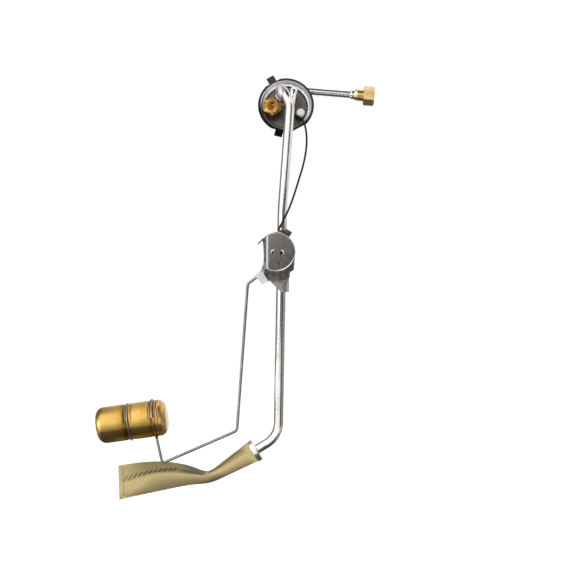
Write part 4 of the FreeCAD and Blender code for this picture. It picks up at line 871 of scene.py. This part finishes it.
def lineDistance(x, z, line):
    # distance to a broken line, which side of it, and how far along it
    best = (1e9, 0, 0)
    for index, ((x0, z0), (x1, z1)) in enumerate(zip(line, line[1:])):
        dx, dz = x1 - x0, z1 - z0
        share = zeroToOne(((x - x0) * dx + (z - z0) * dz) / (dx * dx + dz * dz))
        offX, offZ = x - x0 - dx * share, z - z0 - dz * share
        distance = math.hypot(offX, offZ)
        if distance < best[0]:
            side = 1 if offX * dz - offZ * dx > 0 else -1
            best = (distance, side, (index + share) / (len(line) - 1))
    return best


def dashLines():
    f = sockFolds
    lines = []
    for index in range(f["dashCount"]):
        share = index / (f["dashCount"] - 1)
        half = between(f["dashHalf"], share)
        slope = math.radians(between(f["dashSlope"], share))
        x = f["dashStart"][0] + f["dashRun"] * share
        z = f["dashStart"][1] + f["dashRise"] * (1 - (1 - share) ** f["dashBow"])
        lines.append([(x - half * math.cos(slope), z - half * math.sin(slope)),
                      (x + half * math.cos(slope), z + half * math.sin(slope))])
    return lines


def shadeSettings(x):
    # the stops' three values at one place along the sleeve
    stops = sockFolds["shadeStops"]
    for left, right in zip(stops, stops[1:]):
        if x < right[0] or right is stops[-1]:
            share = zeroToOne((x - left[0]) / (right[0] - left[0]))
            return [between(pair, share) for pair in zip(left[1:], right[1:])]


def foldAt(x, z, dashes):
    # height above the plain sleeve and how dark the fold is, for a point of the front
    f = sockFolds
    distance, side, place = lineDistance(x, z, f["ridge"])
    fade = min(1, place * 5) * min(1, (1 - place) * 3)  # rises over a fifth, falls over a third
    height = f["ridgeHeight"] * bellCurve(distance, 0, f["ridgeWidth"]) * fade
    reach, power, above = shadeSettings(x)
    if side > 0:
        fold = zeroToOne((place - 0.35) * 6) * min(1, (1 - place) * 3)
        valley = bellCurve(distance, f["valleyPlace"], f["valleyWidth"]) * fold
        height -= f["valleyDepth"] * valley
        dark = f["valleyShade"] * valley + above * (1 - bellCurve(distance, 0, f["aboveWidth"]))
    else:
        down = distance / (distance + lineDistance(x, z, f["lowerEdge"])[0] + 0.01)
        dark = f["lowerShade"] * (1 - math.exp(-(down / reach) ** power))
    distance, side, place = lineDistance(x, z, f["seam"])
    valley = bellCurve(distance, 0, f["seamWidth"]) * min(1, place * 4 + 0.05)
    height -= f["seamDepth"] * valley
    dark += f["seamShade"] * valley
    for line in f["creases"]:
        distance, side, place = lineDistance(x, z, line)
        valley = bellCurve(distance, 0, f["creaseWidth"]) * (1 - place) ** 0.5
        height -= f["creaseDepth"] * valley
        dark += f["creaseShade"] * valley
    (left, bottom), (right, top) = f["dashArea"]
    if left < x < right and bottom < z < top:
        rim, rimPlace, rimWidth = f["dashRim"]
        for line in dashes:
            distance, side, place = lineDistance(x, z, line)
            if distance < f["dashReach"]:
                valley = bellCurve(distance, 0, f["dashWidth"])
                height -= f["dashDepth"] * valley
                dark += f["dashShade"] * valley
                height += rim * bellCurve(distance, rimPlace, rimWidth)
    inset = x - f["hemEdge"][0] - (f["hemEdge"][1] - z) * f["hemLean"]
    hem = bellCurve(inset, f["hemInset"], f["hemWidth"])
    height += -f["hemDepth"] * hem + (f["hemRise"] if inset < f["hemInset"] else 0)
    dark += f["hemShade"] * hem
    return height, dark


def buildSock():
    s, f = sockSizes, sockFolds
    table = []
    for centre, along, width, depth, twist in sockStations():
        table.append([*centre, *along, width, depth, math.radians(twist)])
    spans = len(table) - 3
    dashes = dashLines()
    build = bmesh.new()
    mapLayer = build.loops.layers.uv.new("sleeve")
    foldLayer = build.verts.layers.float.new("foldShade")
    rings = []
    for row in range(s["along"] + 1):
        share = row / s["along"]
        centre, along, wide, thin, width, depth = sockFrame(share * spans, table)
        settle, tail = (zeroToOne((share - start) / over)
                        for start, over in (f["startsAt"], f["pinchAt"]))
        ring = []
        for step in range(s["around"]):
            angle = math.tau * step / s["around"]
            sideways, outwards = math.cos(angle), math.sin(angle)
            swell = 1 - f["pinch"] * tail * bellCurve(abs(sideways), 1.0, f["pinchWidth"])
            point = centre + (wide * (sideways * width) + thin * (outwards * depth * swell))
            normal = (wide * (sideways / width) + thin * (outwards / max(depth, 0.5))).normalized()
            front = zeroToOne(-normal.y * f["turnAway"])
            back = zeroToOne(normal.y * f["turnAway"])
            height, dark = foldAt(point.x, point.z, dashes)
            ripple = (f["ripple"] * math.sin(point.x * 0.9 + point.z * 0.35)
                      * math.sin(point.z * 0.5 + 1.3))  # slow waves over the whole sleeve
            lift = (height * (front + f["backShare"] * back) + ripple * (front + back) * 0.7) * settle
            vertex = build.verts.new((point + normal * (lift - f["shrink"] * settle)) * mm)
            vertex[foldLayer] = dark * zeroToOne((0.45 - normal.y) / 0.45) * settle  # none on the back
            ring.append(vertex)
        rings.append(ring)
    for row in range(s["along"]):
        for step in range(s["around"]):
            following = (step + 1) % s["around"]
            face = build.faces.new((rings[row][step], rings[row][following],
                                    rings[row + 1][following], rings[row + 1][step]))
            places = ((step, row), (step + 1, row), (step + 1, row + 1), (step, row + 1))
            for loop, (u, v) in zip(face.loops, places):
                loop[mapLayer].uv = (u / s["around"], v / s["along"])
    for ring in (rings[0], rings[-1]):
        middle = sum((vertex.co for vertex in ring), Vector()) / len(ring)
        hub = build.verts.new(middle)
        for step in range(s["around"]):
            build.faces.new((ring[step], ring[(step + 1) % s["around"]], hub))
    return closedMesh("sock_weave", build)


sockLook = {
    "threads": (150, 300),  # round the sleeve and along it
    "khaki": [(0.3, (0.545, 0.425, 0.190)), (0.5, (0.590, 0.465, 0.213)), (0.7, (0.635, 0.510, 0.240))],
    "weave": [(0.1, (0.82, 0.80, 0.76)), (0.8, (1.08, 1.07, 1.05))],
    "fuzz": [(0.3, (0.90, 0.90, 0.88)), (0.7, (1.06, 1.06, 1.06))],
    "shade": (0.085, 0.058, 0.018),
    "shadeLimit": 0.97,
    "roughness": 0.6,
    "sheen": 0.06,
    "sheenRoughness": 0.4,
    "relief": 0.00003,
}


def sockMaterial():
    # khaki plain weave, darker in its folds
    look = sockLook
    material, tree, shader = newMaterial("khakiWeave")
    axes = splitAxes(tree, addNode(tree, "ShaderNodeTexCoord").outputs["UV"])
    warp, weft = (addMath(tree, "SINE", addMath(tree, "MULTIPLY", axes[axis], math.tau * count))
                  for axis, count in zip("XY", look["threads"]))
    weave = addMath(tree, "MULTIPLY", warp, weft)
    plain = objectCoords(tree)
    mottle = addNoise(tree, plain, 45, 5, 0.55)
    fuzz = addNoise(tree, plain, 1500, 3, 0.6)
    threads = addRamp(tree, addRange(tree, weave, -1, 1, 0, 1), look["weave"])
    colour = mixColours(tree, 0.8, addRamp(tree, mottle, look["khaki"]), threads, "MULTIPLY")
    colour = multiplyColours(tree, colour, addRamp(tree, fuzz, look["fuzz"]))
    folds = addNode(tree, "ShaderNodeAttribute", attribute_name="foldShade")
    shade = addMath(tree, "MINIMUM", folds.outputs["Fac"], look["shadeLimit"])
    tree.links.new(mixColours(tree, shade, colour, look["shade"]), shader.inputs["Base Color"])
    shader.inputs["Roughness"].default_value = look["roughness"]
    shader.inputs["Sheen Weight"].default_value = look["sheen"]
    shader.inputs["Sheen Roughness"].default_value = look["sheenRoughness"]
    relief = addMath(tree, "ADD", weave, addMath(tree, "MULTIPLY", fuzz, 0.8))
    addBump(tree, shader, relief, look["relief"])
    return material


sockPiece = newPiece("sock_sleeve", buildSock(), sockMaterial())
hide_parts("sock")
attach(sockPiece, "sender_frame")
print("sock sleeve shaped")


# floor, light and camera

stageSizes = {
    "floorDrop": 0.62,  # metres under the flange's middle
    "floorWidth": 9.0,
    "floorTone": (0.88, 0.91),
    "floorRoughness": 0.8,
    "floorShine": 0.1,
    "floorGlow": 0.5,  # lifts the lit floor to white, and leaves the shadow on it
    "worldColour": (0.97, 0.98, 1, 1),
    "worldAmbient": 0.62,
}


def skyRays(tree):
    # 1 for what the camera sees directly, in a reflection or through glass
    path = addNode(tree, "ShaderNodeLightPath")
    rays = addMath(tree, "MAXIMUM", path.outputs["Is Camera Ray"], path.outputs["Is Glossy Ray"])
    return addMath(tree, "MAXIMUM", rays, path.outputs["Is Transmission Ray"])


def flatMesh(name, corners):
    mesh = bpy.data.meshes.new(name)
    build = bmesh.new()
    build.faces.new([build.verts.new(corner) for corner in corners])
    build.to_mesh(mesh)
    build.free()
    return mesh


def buildStage():
    half = stageSizes["floorWidth"] / 2
    corners = [(x, y, -stageSizes["floorDrop"])
               for x, y in ((-half, -half), (half, -half), (half, half), (-half, half))]
    mesh = flatMesh("studio_floor", corners)
    material, tree, shader = newMaterial("paleFloor")
    dark, light = stageSizes["floorTone"]
    patch = addNoise(tree, objectCoords(tree), 3, 2)
    tree.links.new(addRamp(tree, patch, [(0.3, (dark,) * 3), (0.7, (light,) * 3)]),
                   shader.inputs["Base Color"])
    shader.inputs["Roughness"].default_value = stageSizes["floorRoughness"]
    shader.inputs["Specular IOR Level"].default_value = stageSizes["floorShine"]
    shader.inputs["Emission Color"].default_value = (1, 1, 1, 1)
    tree.links.new(addMath(tree, "MULTIPLY", skyRays(tree), stageSizes["floorGlow"]),
                   shader.inputs["Emission Strength"])
    newPiece("studio_floor", mesh, material, False)


def buildWorld():
    world = bpy.data.worlds.new("paleStudio")
    scene.world = world
    world.use_nodes = True
    tree = world.node_tree
    tree.nodes.clear()
    output = addNode(tree, "ShaderNodeOutputWorld")
    seen = addNode(tree, "ShaderNodeBackground", Color=(1, 1, 1, 1), Strength=1.0)
    ambient = addNode(tree, "ShaderNodeBackground", Color=stageSizes["worldColour"],
                      Strength=stageSizes["worldAmbient"])
    mix = addNode(tree, "ShaderNodeMixShader")
    tree.links.new(skyRays(tree), mix.inputs["Fac"])
    tree.links.new(ambient.outputs[0], mix.inputs[1])
    tree.links.new(seen.outputs[0], mix.inputs[2])
    tree.links.new(mix.outputs[0], output.inputs["Surface"])


lampSettings = {
    "key": dict(place=(-0.9, -1.3, 0.7), size=(2.2, 2.2), power=16),
    "fill": dict(place=(1.1, -1.1, 0.1), size=(0.7, 1.2), power=3.5),
    "top": dict(place=(0.1, -0.1, 1.3), size=(1.2, 0.8), power=6),
}


def addLamp(name, settings, target=(-0.03, 0, -0.2)):
    # aimed at the middle of the part
    data = bpy.data.lights.new(name, "AREA")
    data.shape = "RECTANGLE"
    data.size, data.size_y = settings["size"]
    data.energy = settings["power"]
    lamp = bpy.data.objects.new(name, data)
    lamp.location = settings["place"]
    lamp.rotation_euler = (Vector(target) - lamp.location).to_track_quat("-Z", "Y").to_euler()
    scene.collection.objects.link(lamp)


def uprightBoard(start, end, low, high):
    return [(*start, low), (*end, low), (*end, high), (*start, high)]


def levelBoard(near, far, height):
    return [(x, y, height) for x, y in (near, (far[0], near[1]), far, (near[0], far[1]))]


# boards round the set, which show only as bands in polished metal: how bright, corners
cards = {
    "card_front": (0.05, [(-0.10, -0.40, -0.26), (0.17, -0.40, -0.26), (0.17, -0.40, -0.06),
                          (-0.01, -0.40, -0.06), (-0.10, -0.40, -0.14)]),
    "card_right_near": (0.06, uprightBoard((0.155, -0.345), (0.309, -0.192), -0.42, 0.12)),
    "card_right_far": (0.36, uprightBoard((0.309, -0.192), (0.20, 0.30), -0.60, -0.11)),
    "card_left": (0.22, uprightBoard((-0.45, -0.07), (-0.45, 0.70), -0.85, 0.50)),
    "card_top": (0.05, levelBoard((-0.10, -0.95), (0.60, 0.10), 0.55)),
    "card_under": (0.10, levelBoard((-0.60, -0.55), (0.50, 0.60), -0.60)),
    "card_under_front": (0.12, uprightBoard((-0.60, -0.70), (0.00, -0.70), -0.60, -0.50)),
    "card_float_left": (5.0, uprightBoard((-0.32, -0.15), (-0.34, -0.05), -0.345, -0.28)),
}
cardTints = [(0.3, (0.8, 0.76, 0.73)), (0.7, (1.2, 1.17, 1.14))]  # patches of each card's tone


def addCard(name, tone, corners):
    material, tree, shader = newMaterial(name)
    stops = [(place, tuple(tone * value for value in tint)) for place, tint in cardTints]
    glow = addRamp(tree, addNoise(tree, objectCoords(tree), 4, 2), stops)
    tree.links.new(glow, shader.inputs["Emission Color"])
    shader.inputs["Emission Strength"].default_value = 1
    shader.inputs["Base Color"].default_value = (0, 0, 0, 1)
    shader.inputs["Specular IOR Level"].default_value = 0
    card = newPiece(name, flatMesh(name, corners), material, False)
    card.visible_camera = False
    card.visible_diffuse = False
    card.visible_shadow = False


buildStage()
buildWorld()
for name, settings in lampSettings.items():
    addLamp(name + "Lamp", settings)
for name, (tone, corners) in cards.items():
    addCard(name, tone, corners)

cameraSettings = {
    "place": (0.0005, -1.2, -0.1848),
    "lens": 74.05,
    "sensorWidth": 36,
}
cameraData = bpy.data.cameras.new("photoCamera")
cameraData.sensor_width = cameraSettings["sensorWidth"]
cameraData.lens = cameraSettings["lens"]
cameraObject = bpy.data.objects.new("photoCamera", cameraData)
cameraObject.location = cameraSettings["place"]
cameraObject.rotation_euler = (math.radians(90), 0, 0)
scene.collection.objects.link(cameraObject)
scene.camera = cameraObject
scene.view_settings.view_transform = "Standard"
print("stage, light and camera set")
